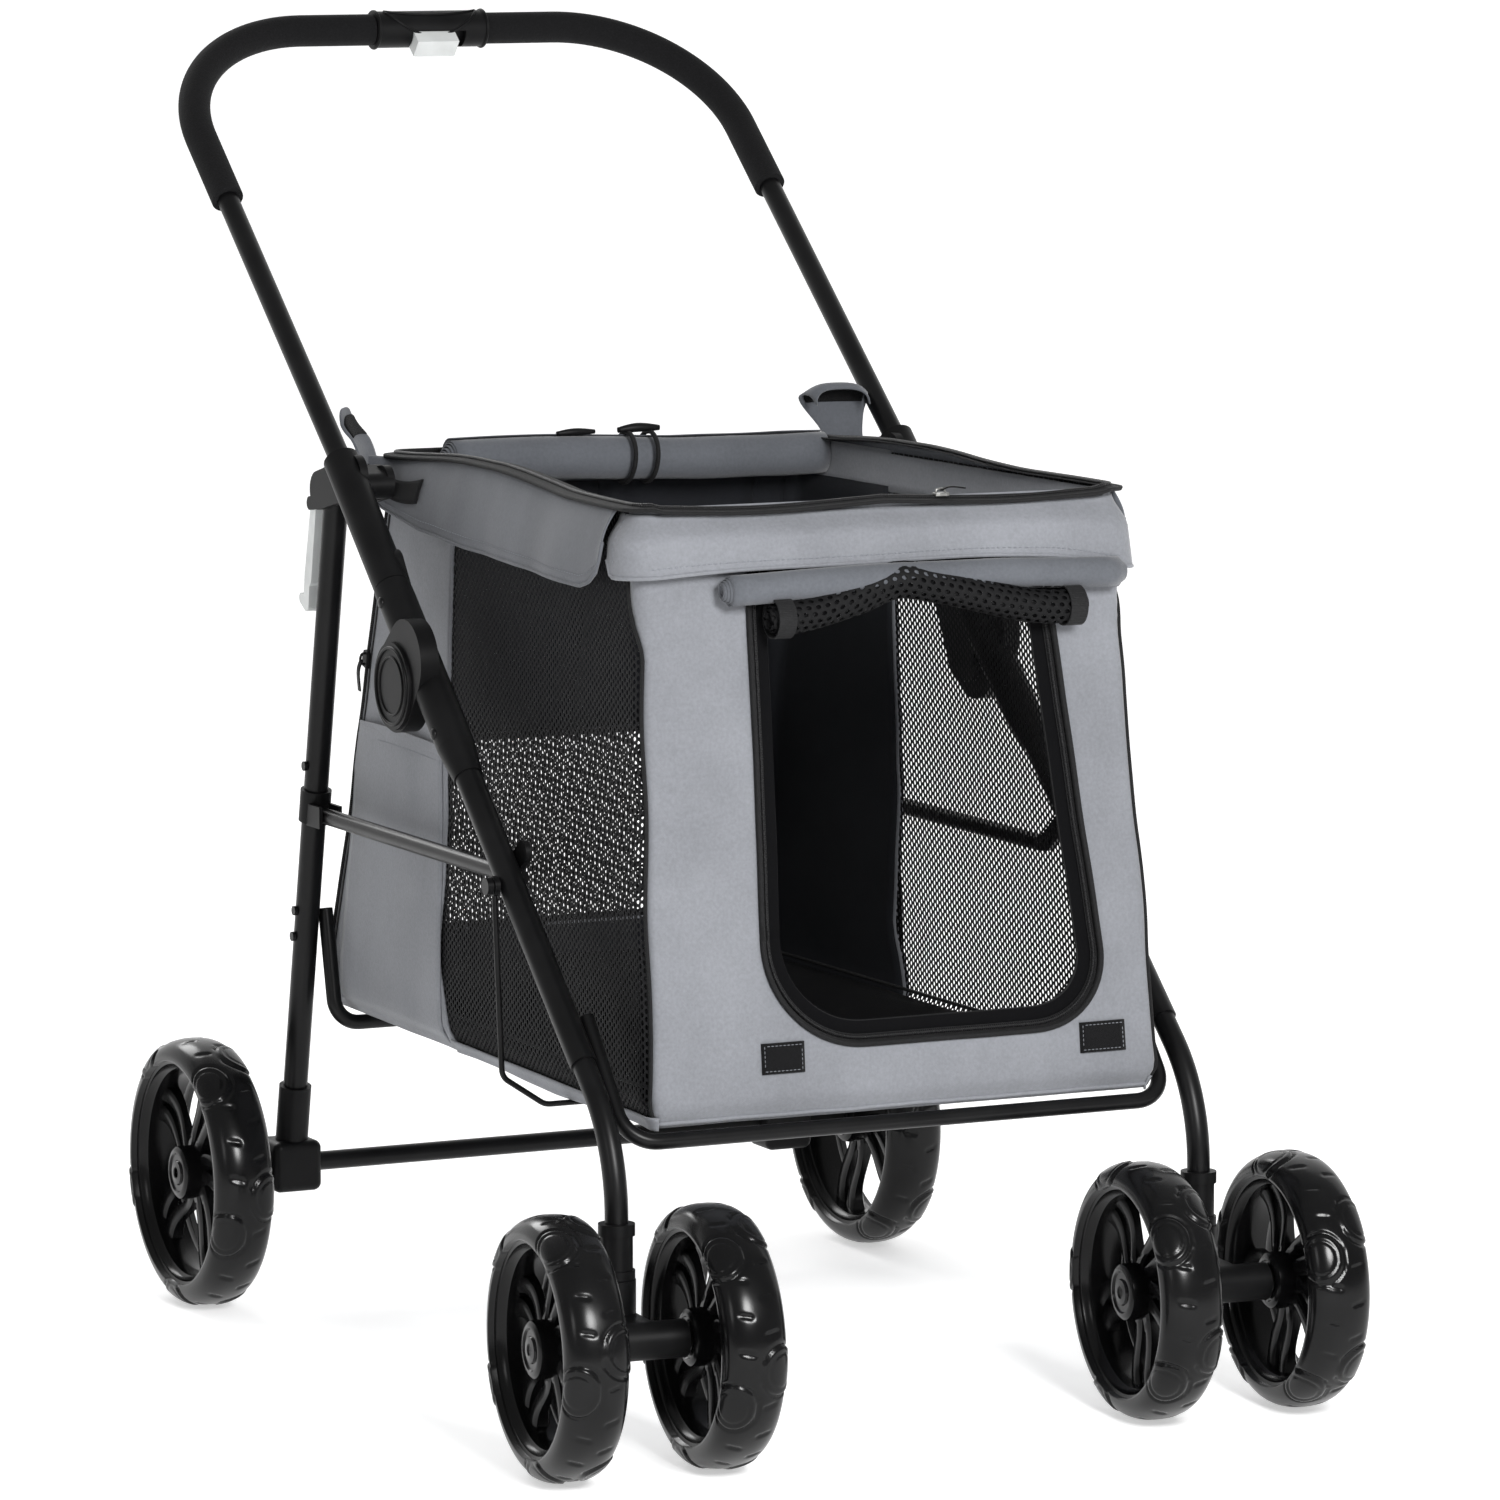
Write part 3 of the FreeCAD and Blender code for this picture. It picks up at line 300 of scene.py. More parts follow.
def tube(name, points, radius, material, closed=False, sides=10, body="front_frame"):
    """A round rod along points; radius is a number or a function of 0 to 1."""
    points = [Vector(p) for p in points]
    count = len(points)
    verts = []
    uvs = []
    run = 0.0
    for i, (point, (_, normal, binormal)) in enumerate(zip(points, frames_along(points, closed))):
        if i:
            run += (point - points[i - 1]).length
        r = radius(i / max(1, count - 1)) if callable(radius) else radius
        for k in range(sides):
            angle = 2 * math.pi * k / sides
            verts.append(point + normal * (math.cos(angle) * r) + binormal * (math.sin(angle) * r))
            uvs.append((run, r * angle))
    faces = quads(count, sides, loop_rows=closed, loop_cols=True)
    if not closed:
        faces.append(tuple(reversed(range(sides))))
        faces.append(tuple((count - 1) * sides + k for k in range(sides)))
    return mesh_object(name, verts, faces, material, uvs, body=body)


def ribbon(name, points, across, width, thickness, material, closed=False):
    """A flat band along points; across(i, tangent) gives the direction of its width."""
    points = [Vector(p) for p in points]
    count = len(points)
    half = width / 2
    verts = []
    uvs = []
    run = 0.0
    for i, (point, (tangent, _, _)) in enumerate(zip(points, frames_along(points, closed))):
        if i:
            run += (point - points[i - 1]).length
        side = Vector(across(i, tangent))
        side = (side - tangent * side.dot(tangent)).normalized()
        up = tangent.cross(side)
        for a, b in ((-1, -1), (1, -1), (1, 1), (-1, 1)):
            verts.append(point + side * (a * half) + up * (b * thickness / 2))
            uvs.append((run, a * half))
    faces = quads(count, 4, loop_rows=closed, loop_cols=True)
    if not closed:
        faces.append((3, 2, 1, 0))
        last = (count - 1) * 4
        faces.append((last, last + 1, last + 2, last + 3))
    return mesh_object(name, verts, faces, material, uvs, smooth=False)


def circle(centre, radius, count, tall=None, lean=0.0):
    """Points round an upright circle that faces X; tall is its other radius, lean tips it in x."""
    points = []
    for k in range(count):
        angle = 2 * math.pi * k / count
        sine = math.sin(angle)
        step = Vector((lean * sine, radius * math.cos(angle), (tall or radius) * sine))
        points.append(Vector(centre) + step)
    return points


def resample(points, step):
    """Evenly spaced points along a polyline."""
    points = [Vector(p) for p in points]
    result = [points[0].copy()]
    left = step
    for a, b in zip(points, points[1:]):
        length = (b - a).length
        if length < 1e-9:
            continue
        place = left
        while place <= length:
            result.append(a.lerp(b, place / length))
            place += step
        left = place - length
    return result


def smooth_curve(points, per_span=8):
    """A Catmull-Rom curve through a few points."""
    points = [Vector(p) for p in points]
    padded = [points[0] * 2 - points[1]] + points + [points[-1] * 2 - points[-2]]
    result = []
    for i in range(1, len(padded) - 2):
        p0, p1, p2, p3 = padded[i - 1:i + 3]
        for k in range(per_span):
            t = k / per_span
            result.append(
                0.5 * (2 * p1 + (p2 - p0) * t + (2 * p0 - 5 * p1 + 4 * p2 - p3) * t * t
                       + (3 * p1 - p0 - 3 * p2 + p3) * t ** 3)
            )
    result.append(points[-1])
    return result


def stitches(name, paths, pitch=4.2, length=2.7):
    """Rows of thread along surface paths."""
    radius = 0.32
    verts = []
    faces = []
    for path in paths:
        path = resample(path, pitch)
        for a, b in zip(path, path[1:]):
            direction = (b - a).normalized()
            seed = Vector((0, 0, 1)) if abs(direction.z) < 0.8 else Vector((1, 0, 0))
            normal = direction.cross(seed).normalized()
            other = direction.cross(normal)
            base = len(verts)
            for place, scale in ((0, 0.4), (length * 0.5, 1.0), (length, 0.4)):
                for n in range(4):
                    angle = math.pi * n / 2
                    offset = normal * math.cos(angle) + other * math.sin(angle)
                    verts.append(a + direction * place + offset * radius * scale)
            faces += quads(3, 4, base, loop_cols=True)
            faces.append((base + 3, base + 2, base + 1, base))
            faces.append((base + 8, base + 9, base + 10, base + 11))
    return mesh_object(name, verts, faces, M_THREAD)


def wobble(x, y, z, size, seed=0.0):
    """Smooth noise from -1 to 1 at a place in millimetres; size is its scale."""
    return noise.noise(Vector((x / size + seed, y / size - seed, z / size + seed * 0.5)))


def ease(value):
    """Smooth step from 0 to 1."""
    value = max(0.0, min(1.0, value))
    return value * value * (3 - 2 * value)


def interpolate(table, x):
    """Straight lines between (x, value) pairs."""
    for (x0, y0), (x1, y1) in zip(table, table[1:]):
        if x <= x1:
            return y0 + (y1 - y0) * (x - x0) / (x1 - x0)
    return table[-1][1]


# ------------------------------------------------------------------ cabin surface

FLOOR_Z = 222.0
RIM_Z = 638.0
CORNER = 11.0


def wall_lines(z):
    """Front y, rear y, half width in front and behind at a height."""
    t = (z - FLOOR_Z) / (640.0 - FLOOR_Z)
    return -350 + 40 * t, 258 - 113 * t, 192 - 10 * t, 177 - 10 * t


def perimeter_marks(z):
    """Half the outline's arc length at each mark, from the middle of the front to the back."""
    front, rear, half_front, half_rear = wall_lines(z)
    quarter = CORNER * math.pi / 2
    side = math.hypot(half_front - half_rear, rear - front - 2 * CORNER)
    a = half_front - CORNER
    b = a + quarter
    c = b + side
    d = c + quarter
    e = d + half_rear - CORNER
    return a, b, c, d, e


def around(s, z):
    """Point and outward normal on the cabin's outline, s from the middle of the front."""
    sign = -1 if s < 0 else 1
    s = abs(s)
    front, rear, half_front, half_rear = wall_lines(z)
    a, b, c, d, e = perimeter_marks(z)
    if s <= a:
        x, y, nx, ny = s, front, 0.0, -1.0
    elif s <= b:
        angle = (s - a) / CORNER
        x = half_front - CORNER + CORNER * math.sin(angle)
        y = front + CORNER - CORNER * math.cos(angle)
        nx, ny = math.sin(angle), -math.cos(angle)
    elif s <= c:
        f = (s - b) / (c - b)
        x = half_front + (half_rear - half_front) * f
        y = front + CORNER + (rear - front - 2 * CORNER) * f
        nx, ny = 1.0, 0.0
    elif s <= d:
        angle = (s - c) / CORNER
        x = half_rear - CORNER + CORNER * math.cos(angle)
        y = rear - CORNER + CORNER * math.sin(angle)
        nx, ny = math.cos(angle), math.sin(angle)
    else:
        x = half_rear - CORNER - (s - d)
        y, nx, ny = rear, 0.0, 1.0
    return Vector((sign * x, y, z)), Vector((sign * nx, ny, 0.0))


def side_s(y, z):
    """Arc-length of the side wall's point at y."""
    front, rear, _, _ = wall_lines(z)
    _, b, c, _, _ = perimeter_marks(z)
    return b + (c - b) * (y - front - CORNER) / (rear - front - 2 * CORNER)


def wall(s, z, inset=0.0):
    """Point on the soft wall: bulged, tucked under at the bottom and gently creased."""
    point, normal = around(s, z)
    t = (z - FLOOR_Z) / (RIM_Z - FLOOR_Z)
    a, b, c, d, e = perimeter_marks(z)
    dist = abs(s)
    if s > 0:
        reach = ease(dist / a) * (1 - ease((dist - b) / 170))
        point.x += 8.0 * reach * (1 - ease((z - 230) / 330))
    if dist < a:
        fullness = math.cos(dist / a * math.pi / 2) ** 0.5
    elif b < dist < c:
        fullness = math.sin((dist - b) / (c - b) * math.pi) ** 0.6
    elif dist > d:
        fullness = math.cos((e - dist) / (e - d) * math.pi / 2) if e > d else 0
        fullness = 1 - fullness ** 2
    else:
        fullness = 0.15
    bulge = 3.0 * fullness * math.sin(min(1, max(0, t)) * math.pi) ** 0.7
    tuck = 8.0 * (1 - ease((z - FLOOR_Z) / 24.0)) ** 2
    above = z - FLOOR_Z
    corner_puff = math.exp(-((dist - a + 14) / 26.0) ** 2) * math.exp(-((above - 14) / 11.0) ** 2)
    bulge += 4.0 * corner_puff * (0.6 + 0.4 * wobble(point.x, point.y, z, 14.0, 1.7))
    crease = 1.5 * wobble(point.x, point.y, point.z, 90.0, 3.1)
    crease += 0.9 * wobble(point.x, point.y, point.z, 42.0, 8.7)
    fold = 0.7 * wobble(point.x * 0.35, point.y * 0.35, point.z, 13.0, 5.2)
    crease += fold * math.exp(-above / 26.0)
    return point + normal * (bulge - tuck + crease - inset)


# seam between a side's netting and its rear grey strip, as y at a height
SEAM = ((222, 2), (240, 8), (285, 25), (340, 19), (390, 14), (480, 15), (580, 14), (640, 11))


def seam_y(z):
    """Where the netting ends and the rear strip begins."""
    return interpolate(SEAM, z)


def front_seam_s(z):
    """Arc-length of the seam at the front corner between the front panel and the netting."""
    a = perimeter_marks(z)[0]
    return a + CORNER * math.pi / 4 + 13.0 * ease((z - 535) / 45) - 0.8 * math.sin(z / 21.0)


DOOR_LEFT = -103.0
DOOR_RIGHT = 140.0
DOOR_LOW = 270.0
DOOR_HIGH = 600.0


def door_widening(x, z):
    """The right-hand edge of the door runs outwards towards its foot."""
    return 0.094 * (409 - z) * ease(x / 120.0)


def door_outline(grow, step):
    """Closed (x, z) outline of the door opening, grown outwards."""
    left = DOOR_LEFT - grow
    right = DOOR_RIGHT + grow
    low = DOOR_LOW - grow
    high = DOOR_HIGH + grow
    r_left = 74.0 + grow
    r_right = 54.0 + grow
    r_top = 16.0 + grow
    pts = []

    def arc(cx, cz, r, start, end):
        steps = max(3, int(abs(end - start) * r / step))
        for k in range(steps + 1):
            angle = start + (end - start) * k / steps
            pts.append((cx + r * math.cos(angle), cz + r * math.sin(angle)))

    half = math.pi / 2
    arc(left + r_left, low + r_left, r_left, -2 * half, -half)
    arc(right - r_right, low + r_right, r_right, -half, 0)
    arc(right - r_top, high - r_top, r_top, 0, half)
    arc(left + r_top, high - r_top, r_top, half, 2 * half)
    dense = [Vector((x + door_widening(x, z), 0, z)) for x, z in pts]
    return [(p.x, p.z) for p in resample(dense + dense[:1], step)][:-1]


def front_panel():
    """The grey front with its door opening, wrapped round both corners."""
    inner = door_outline(1.0, 5.0)
    centre = Vector(((DOOR_LEFT + DOOR_RIGHT) / 2, (DOOR_LOW + DOOR_HIGH) / 2))
    rings = 16
    outer = []
    for x, z in inner:
        direction = Vector((x, z)) - centre
        best = None
        for z_edge in (FLOOR_Z, RIM_Z):
            if direction.y * (z_edge - centre.y) > 0:
                scale = (z_edge - centre.y) / direction.y
                best = scale if best is None else min(best, scale)
        for sign in (-1, 1):
            if direction.x * sign > 0:
                z_guess = z
                for _ in range(3):
                    s_edge = sign * front_seam_s(min(RIM_Z, max(FLOOR_Z, z_guess)))
                    scale = (s_edge - centre.x) / direction.x
                    z_guess = centre.y + direction.y * scale
                best = scale if best is None else min(best, scale)
        outer.append(centre + direction * best)
    verts = []
    uvs = []
    for ring in range(rings + 1):
        f = (ring / rings) ** 1.15
        for (x, z), far in zip(inner, outer):
            s_here = x + (far.x - x) * f
            z_here = z + (far.y - z) * f
            verts.append(wall(s_here, z_here))
            uvs.append((s_here, z_here))
    faces = [(a, d, c, b) for a, b, c, d in quads(rings + 1, len(inner), loop_cols=True)]
    obj = mesh_object("front_cloth", verts, faces, M_GREY, uvs)
    thicken(obj, 1.6, -1.0)
    return obj


def wall_strip(name, s_from, s_to, z_from, z_to, material, nu, nv, inset=0.0, thickness=1.4):
    """Part of the wall between two arc-length functions of height."""

    def point(u, v):
        z = z_from + (z_to - z_from) * v
        return wall(s_from(z) + (s_to(z) - s_from(z)) * u, z, inset)

    return grid(name, point, nu, nv, material, thickness=thickness)


# the netted window in the rear panel
WINDOW_HALF = 128.0
WINDOW_LOW = 271
WINDOW_HIGH = 421
LINING_LOW = 226
LINING_HIGH = 612
PIPING_Z = 225


def build_sides():
    """Sides with netting, seams, corner zips and pockets, rear with its window, and the lining."""
    for word, side in SIDES:

        def net_start(z, side=side):
            return side * front_seam_s(z)

        def net_end(z, side=side):
            return side * side_s(seam_y(z), z)

        def strip_end(z, side=side):
            return side * (perimeter_marks(z)[3] + 4.0)

        def window_edge(z, side=side):
            return side * (perimeter_marks(z)[4] - WINDOW_HALF)

        def middle(z, side=side):
            return side * perimeter_marks(z)[4]

        strips = (
            ("side_net_", net_start, net_end, 224, RIM_Z - 1, M_NET, 44, 50, 0.4, 0.5),
            ("side_strip_", net_end, strip_end, FLOOR_Z, RIM_Z, M_GREY, 30, 48),
            ("rear_edge_", strip_end, window_edge, FLOOR_Z, RIM_Z, M_GREY, 12, 48),
            ("rear_low_", window_edge, middle, FLOOR_Z, WINDOW_LOW, M_GREY, 16, 8),
            ("rear_high_", window_edge, middle, WINDOW_HIGH, RIM_Z, M_GREY, 16, 24),
            ("rear_net_", window_edge, middle, WINDOW_LOW - 3, WINDOW_HIGH + 3, M_NET, 16, 18, 0.5, 0.5),
            ("lining_side_", net_end, strip_end, LINING_LOW, LINING_HIGH, M_LINING, 20, 30, 3.4, 0.6),
            ("lining_edge_", strip_end, window_edge, LINING_LOW, LINING_HIGH, M_LINING, 8, 30, 3.4, 0.6),
            ("lining_low_", window_edge, middle, LINING_LOW, WINDOW_LOW - 2, M_LINING, 10, 6, 3.4, 0.6),
            ("lining_high_", window_edge, middle, WINDOW_HIGH + 2, LINING_HIGH, M_LINING, 10, 16, 3.4, 0.6),
            ("inner_band_", net_start, strip_end, 608, RIM_Z - 2, M_GREY, 60, 4, 3.0, 0.8),
        )
        for stem, *strip in strips:
            wall_strip(stem + word, *strip)

        def hem_top(u, v, side=side):
            z_here = FLOOR_Z - 0.5 + 9.5 * v
            s_a = front_seam_s(z_here) - 6
            s_b = side_s(seam_y(z_here), z_here) + 4
            s_here = side * (s_a + (s_b - s_a) * u)
            sag = 1.4 * math.sin(u * 9.0) * (1 - v)
            return wall(s_here, z_here, -1.4) + Vector((0, 0, sag - 1.0))

        grid("bottom_band_" + word, hem_top, 60, 4, M_GREY, thickness=1.2)

        def line_up(s_of, out, z_from, z_to, step=6, side=side):
            """An upright line on the wall, pushed out by a little."""
            return [wall(side * s_of(z), z, -out) for z in range(z_from, z_to, step)]

        tube("front_seam_" + word, line_up(front_seam_s, 0.6, 224, 639), 1.3, M_BINDING)
        tube("strip_seam_" + word, line_up(lambda z: side_s(seam_y(z), z), 0.6, 224, 639), 1.1, M_GREY)
        zip_line = line_up(lambda z: perimeter_marks(z)[2] - 1, 0.8, 224, 636)
        ribbon("corner_zip_" + word, zip_line, lambda i, t, side=side: (side * -0.25, 1, 0), 10, 0.9, M_TAPE)
        coil_line = line_up(lambda z: perimeter_marks(z)[2] + 1, 1.6, 230, 600)
        tube("corner_coil_" + word, coil_line, 1.6, M_COIL)
        slider_z = 486
        add_slider("corner_slider_" + word, wall(side * perimeter_marks(slider_z)[2], slider_z, -3.4),
                   Vector((0, 0.27, -1)), Vector((side, 0, 0)), 1.2, M_MOULDED)

        rows = []
        for shift in (3.5, 6.5):
            rows.append(line_up(lambda z: side_s(seam_y(z) + shift, z), 0.25, 228, 634, 5))
        stitches("strip_stitches_" + word, rows)

        def pocket_point(u, v, side=side):
            y_front = seam_y(430) + 3 + 4 * v
            y_back = 205 - 10 * v
            y = y_front + (y_back - y_front) * u
            z = 226 + (438 - 226) * v + 3 * math.sin(u * math.pi)
            y_low = y + (1 - v) * (14 * u)
            puff = 4.5 * math.sin(u * math.pi) * (0.35 + 0.65 * v)
            return wall(side * side_s(y_low, z), z, -1.6 - puff)

        grid("pocket_" + word, pocket_point, 26, 26, M_GREY, thickness=1.0)
        hem = [pocket_point(u / 26, 1.0) for u in range(27)]
        hem_line = [p + Vector((side * 0.6, 0, -5)) for p in hem]
        ribbon("pocket_hem_" + word, hem_line, lambda i, t: (0, 0, 1), 12, 1.2, M_GREY)
        stitches("pocket_stitches_" + word, [[p + Vector((side * 1.5, 0, -10)) for p in hem]])


def build_window_binding():
    """Binding round the netted window of the rear panel."""
    low, high, half = WINDOW_LOW, WINDOW_HIGH, WINDOW_HALF
    height = high - low
    window_frame = [(-half + 2 * half * k / 40, low) for k in range(41)]
    window_frame += [(half, low + height * k / 24) for k in range(1, 25)]
    window_frame += [(half - 2 * half * k / 40, high) for k in range(1, 41)]
    window_frame += [(-half, high - height * k / 24) for k in range(1, 24)]
    edge = []
    for x, z in window_frame:
        s_here = perimeter_marks(z)[4] - abs(x)
        edge.append(wall(s_here if x >= 0 else -s_here, z, -1.0))
    rearward = Vector((0, 1, 0))
    ribbon("rear_window_binding", edge, lambda i, t: rearward.cross(t), 9, 1.2, M_BINDING, closed=True)


def build_floor():
    """The bag's floor and the piping round its bottom edge."""

    def floor_point(u, v):
        z = FLOOR_Z + 0.5
        front, rear, half_front, half_rear = wall_lines(z)
        y = front + 10 + (rear - front - 20) * v
        half = half_front + (half_rear - half_front) * v - 10
        corner = min(1.0, min(v, 1 - v) * (rear - front) / CORNER)
        half -= CORNER * (1 - math.sqrt(max(0.0, 1 - (1 - corner) ** 2)))
        sag = 3.0 * math.sin(u * math.pi) * math.sin(v * math.pi)
        return (-half + 2 * half * u, y, z - sag + 1.2 * wobble(half * u, y, 0, 60))

    grid("floor_cloth", floor_point, 24, 36, M_GREY, thickness=1.2, offset=1.0)

    total = perimeter_marks(PIPING_Z)[4]
    count = 150
    path = []
    for k in range(count):
        s_here = -total + 2 * total * k / count
        path.append(wall(s_here, PIPING_Z + 0.9 * wobble(s_here, 0, 0, 26, 4.0), -0.5))
    tube("bottom_piping", path, 1.5, M_GREY, closed=True)


def build_cabin():
    """The sewn bag: front, sides, rear, lining and floor."""
    front_panel()
    build_sides()
    build_window_binding()
    build_floor()
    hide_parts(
        "front_panel", "rear_panel", "side_panel_left",
        "side_panel_right", "floor_board",
    )


PAD_INSET = 9.0
PINNED_BELOW = 234.5
CLOTH_FRAMES = 20


def inflate(obj, cap):
    """Blows a closed pad up with a short cloth simulation, no point moving more than cap mm."""
    scene = bpy.context.scene
    bpy.context.view_layer.objects.active = obj
    obj.select_set(True)
    remesh = modifier(obj, "REMESH", mode="VOXEL", voxel_size=0.006)
    bpy.ops.object.modifier_apply(modifier=remesh.name)
    before = [v.co.copy() for v in obj.data.vertices]
    pinned = obj.vertex_groups.new(name="base")
    pinned.add([i for i, v in enumerate(before) if v.z < PINNED_BELOW * MM], 1.0, "REPLACE")
    cloth = obj.modifiers.new("cloth", "CLOTH")
    cloth.settings.use_pressure = True
    cloth.settings.uniform_pressure_force = 4.0
    cloth.settings.effector_weights.gravity = 0.0
    cloth.settings.vertex_group_mass = "base"
    cloth.settings.quality = 4
    cloth.point_cache.frame_start = 1
    cloth.point_cache.frame_end = CLOTH_FRAMES
    for number in range(1, CLOTH_FRAMES + 1):
        scene.frame_set(number)
    shaped = obj.evaluated_get(bpy.context.evaluated_depsgraph_get()).to_mesh()
    after = [v.co.copy() for v in shaped.vertices]
    obj.modifiers.remove(cloth)
    limit = cap * MM
    for vertex, start, end in zip(obj.data.vertices, before, after):
        step = end - start
        if step.length > limit:
            step *= limit / step.length
        vertex.co = start + step
    scene.frame_set(1)
    obj.data.polygons.foreach_set("use_smooth", [True] * len(obj.data.polygons))
    modifier(obj, "SUBSURF", levels=1, render_levels=1)
    obj.select_set(False)


def build_cushion():
    """The padded floor: a crowned slab with a piped edge."""
    front, rear, half_front, half_rear = wall_lines(240)
    front += PAD_INSET
    rear -= PAD_INSET
    half_front -= PAD_INSET
    half_rear -= PAD_INSET

    def outline(angle):
        c, s = math.cos(angle), math.sin(angle)
        power = 0.16
        px = math.copysign(abs(c) ** power, c)
        py = math.copysign(abs(s) ** power, s)
        v = (py + 1) / 2
        half = half_front + (half_rear - half_front) * v
        return px * half, front + (rear - front) * v

    mid_y = (front + rear) / 2
    rings = ((0.0, 233.0), (0.5, 232.8), (0.93, 232.2), (0.985, 233.5), (1.0, 238.0), (0.985, 243.0),
             (0.95, 246.0), (0.88, 248.5), (0.7, 250.5), (0.35, 251.5), (0.0, 251.8))
    count = 96
    verts = []
    uvs = []
    for scale, z in rings:
        for k in range(count):
            x, y = outline(2 * math.pi * k / count)
            px = x * scale
            py = mid_y + (y - mid_y) * scale
            lift = 0.8 * wobble(px, py, z, 70, 1.0) if z > 240 else 0.0
            verts.append((px, py, z + lift))
            uvs.append((px, py))
    faces = quads(len(rings), count, loop_cols=True)
    obj = mesh_object("floor_pad", verts, faces, M_CUSHION, uvs, body=None)
    inflate(obj, 5.0)
    layer = obj.data.uv_layers.new(name="UVMap")
    for loop in obj.data.loops:
        layer.data[loop.index].uv = obj.data.vertices[loop.vertex_index].co.xy
    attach(obj, "front_frame")
    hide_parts("floor_cushion")
    edge = []
    for k in range(count * 2):
        x, y = outline(math.pi * k / count)
        edge.append((x * 0.985, mid_y + (y - mid_y) * 0.99, 244.5))
    tube("pad_piping", edge, 1.4, M_BINDING, closed=True)


# ------------------------------------------------------------------ rim, flaps and rolls


def rim_point(s):
    """The soft rim line: it dips in front and rises towards the back."""
    total = perimeter_marks(RIM_Z)[4]
    f = abs(s) / total
    point, normal = around(s, RIM_Z)
    a = perimeter_marks(RIM_Z)[0]
    front_dip = -4.5 * ease(1 - abs(abs(s) - a * 0.55) / (a * 0.75)) if abs(s) < a else 0.0
    side_rise = 7.0 * ease((f - 0.35) / 0.2) * ease((0.8 - f) / 0.2)
    sway = -6.0 * ease((f - 0.3) / 0.15) * ease((0.78 - f) / 0.15)
    ripple = 0.8 * wobble(s, 0, 0, 34, 2.0)
    return point + normal * (sway + ripple) + Vector((0, 0, front_dip + side_rise))


def build_rim():
    """Zipper round the rim with its tapes, slider, puller and the black edge."""
    total = perimeter_marks(RIM_Z)[4]
    steps = 240
    ring = [rim_point(-total + 2 * total * k / steps) for k in range(steps)]
    normals = [around(-total + 2 * total * k / steps, RIM_Z)[1] for k in range(steps)]
    lifted = [p + Vector((0, 0, 1.6)) for p in ring]
    tube("rim_coil", lifted, 1.7, M_COIL, closed=True, sides=8)
    for name, shift, height in (("rim_tape_outer", 4.2, 0.0), ("rim_tape_inner", -4.6, 0.4)):
        band = [p + n * shift + Vector((0, 0, height)) for p, n in zip(ring, normals)]
        ribbon(name, band, lambda i, t: normals[i] + Vector((0, 0, -0.25)), 7.0, 0.9, M_TAPE, closed=True)
    edge = [p + n * 8.2 + Vector((0, 0, -1.0)) for p, n in zip(ring, normals)]
    tube("rim_piping", edge, 1.5, M_BINDING, closed=True, sides=8)

    slider_at = rim_point(46.0) + Vector((0, 0, 3.4))
    add_slider("rim_slider", slider_at, Vector((1, 0.02, 0)), Vector((0, 0, 1)), 1.0, M_SLIDER)


def add_slider(name, at, along, up, scale, material):
    """A zipper slider: wedge body, bridge and a moulded pull tab."""
    along = along.normalized()
    side = up.cross(along).normalized()
    up = along.cross(side)

    def local(x, y, z):
        return at + along * (x * scale) + side * (y * scale) + up * (z * scale)

    outline = ((-5, 2.6), (-2, 3.6), (3, 4.0), (5.5, 3.4), (5.5, -3.4), (3, -4.0), (-2, -3.6), (-5, -2.6))
    verts = []
    for z in (-1.3, 1.3):
        for x, y in outline:
            verts.append(local(x, y, z))
    count = len(outline)
    faces = [tuple(range(count)), tuple(reversed(range(count, 2 * count)))]
    for k in range(count):
        faces.append((k, k + count, (k + 1) % count + count, (k + 1) % count))
    wedge = mesh_object(name + "_wedge", verts, faces, material, smooth=False)
    modifier(wedge, "BEVEL", width=0.5 * MM, segments=2)
    arch = ((-3.5, 1.0), (-3.0, 3.2), (0, 4.0), (3.0, 3.2), (3.5, 1.0))
    bridge = [local(x, 0, z) for x, z in arch]
    tube(name + "_bridge", smooth_curve(bridge, 5), 0.8 * scale, material, sides=8)
    pull = [local(0.5, 0, 3.0), local(5, 0.6, 4.6), local(10, 1.2, 4.8), local(20, 2.4, 3.4)]
    ribbon(name + "_pull", smooth_curve(pull, 5), lambda i, t: side, 3.4 * scale, 1.1, M_MOULDED)


def spiral_roll(name, axis_points, radius, turns, material, sheet_gap=1.5):
    """Cloth rolled into a spiral along a curved axis, as one thick continuous sheet."""
    axis = [Vector(p) for p in axis_points]
    frames = frames_along(axis)
    around_steps = int(24 * turns)
    end_jitter = 3.0
    core = radius - turns * sheet_gap * 1.25
    length_steps = len(axis) - 1

    def point(u, v):
        place = v * length_steps
        index = min(int(place), length_steps - 1)
        f = place - index
        centre = axis[index].lerp(axis[index + 1], f)
        tangent, normal, binormal = frames[index]
        angle = u * turns * 2 * math.pi
        r = core + (radius - core) * u
        squeeze = 1 + 0.05 * wobble(centre.x, angle * 9, 0, 45, 5.5)
        slide = end_jitter * (2 * v - 1) * math.sin(u * 5.0) * (abs(2 * v - 1) ** 8)
        return (
            centre
            + normal * (math.cos(angle) * r * squeeze)
            + binormal * (math.sin(angle) * r * squeeze * 0.94)
            + tangent * slide
        )

    return grid(name, point, around_steps, max(10, length_steps), material, thickness=0.7, offset=0.0)


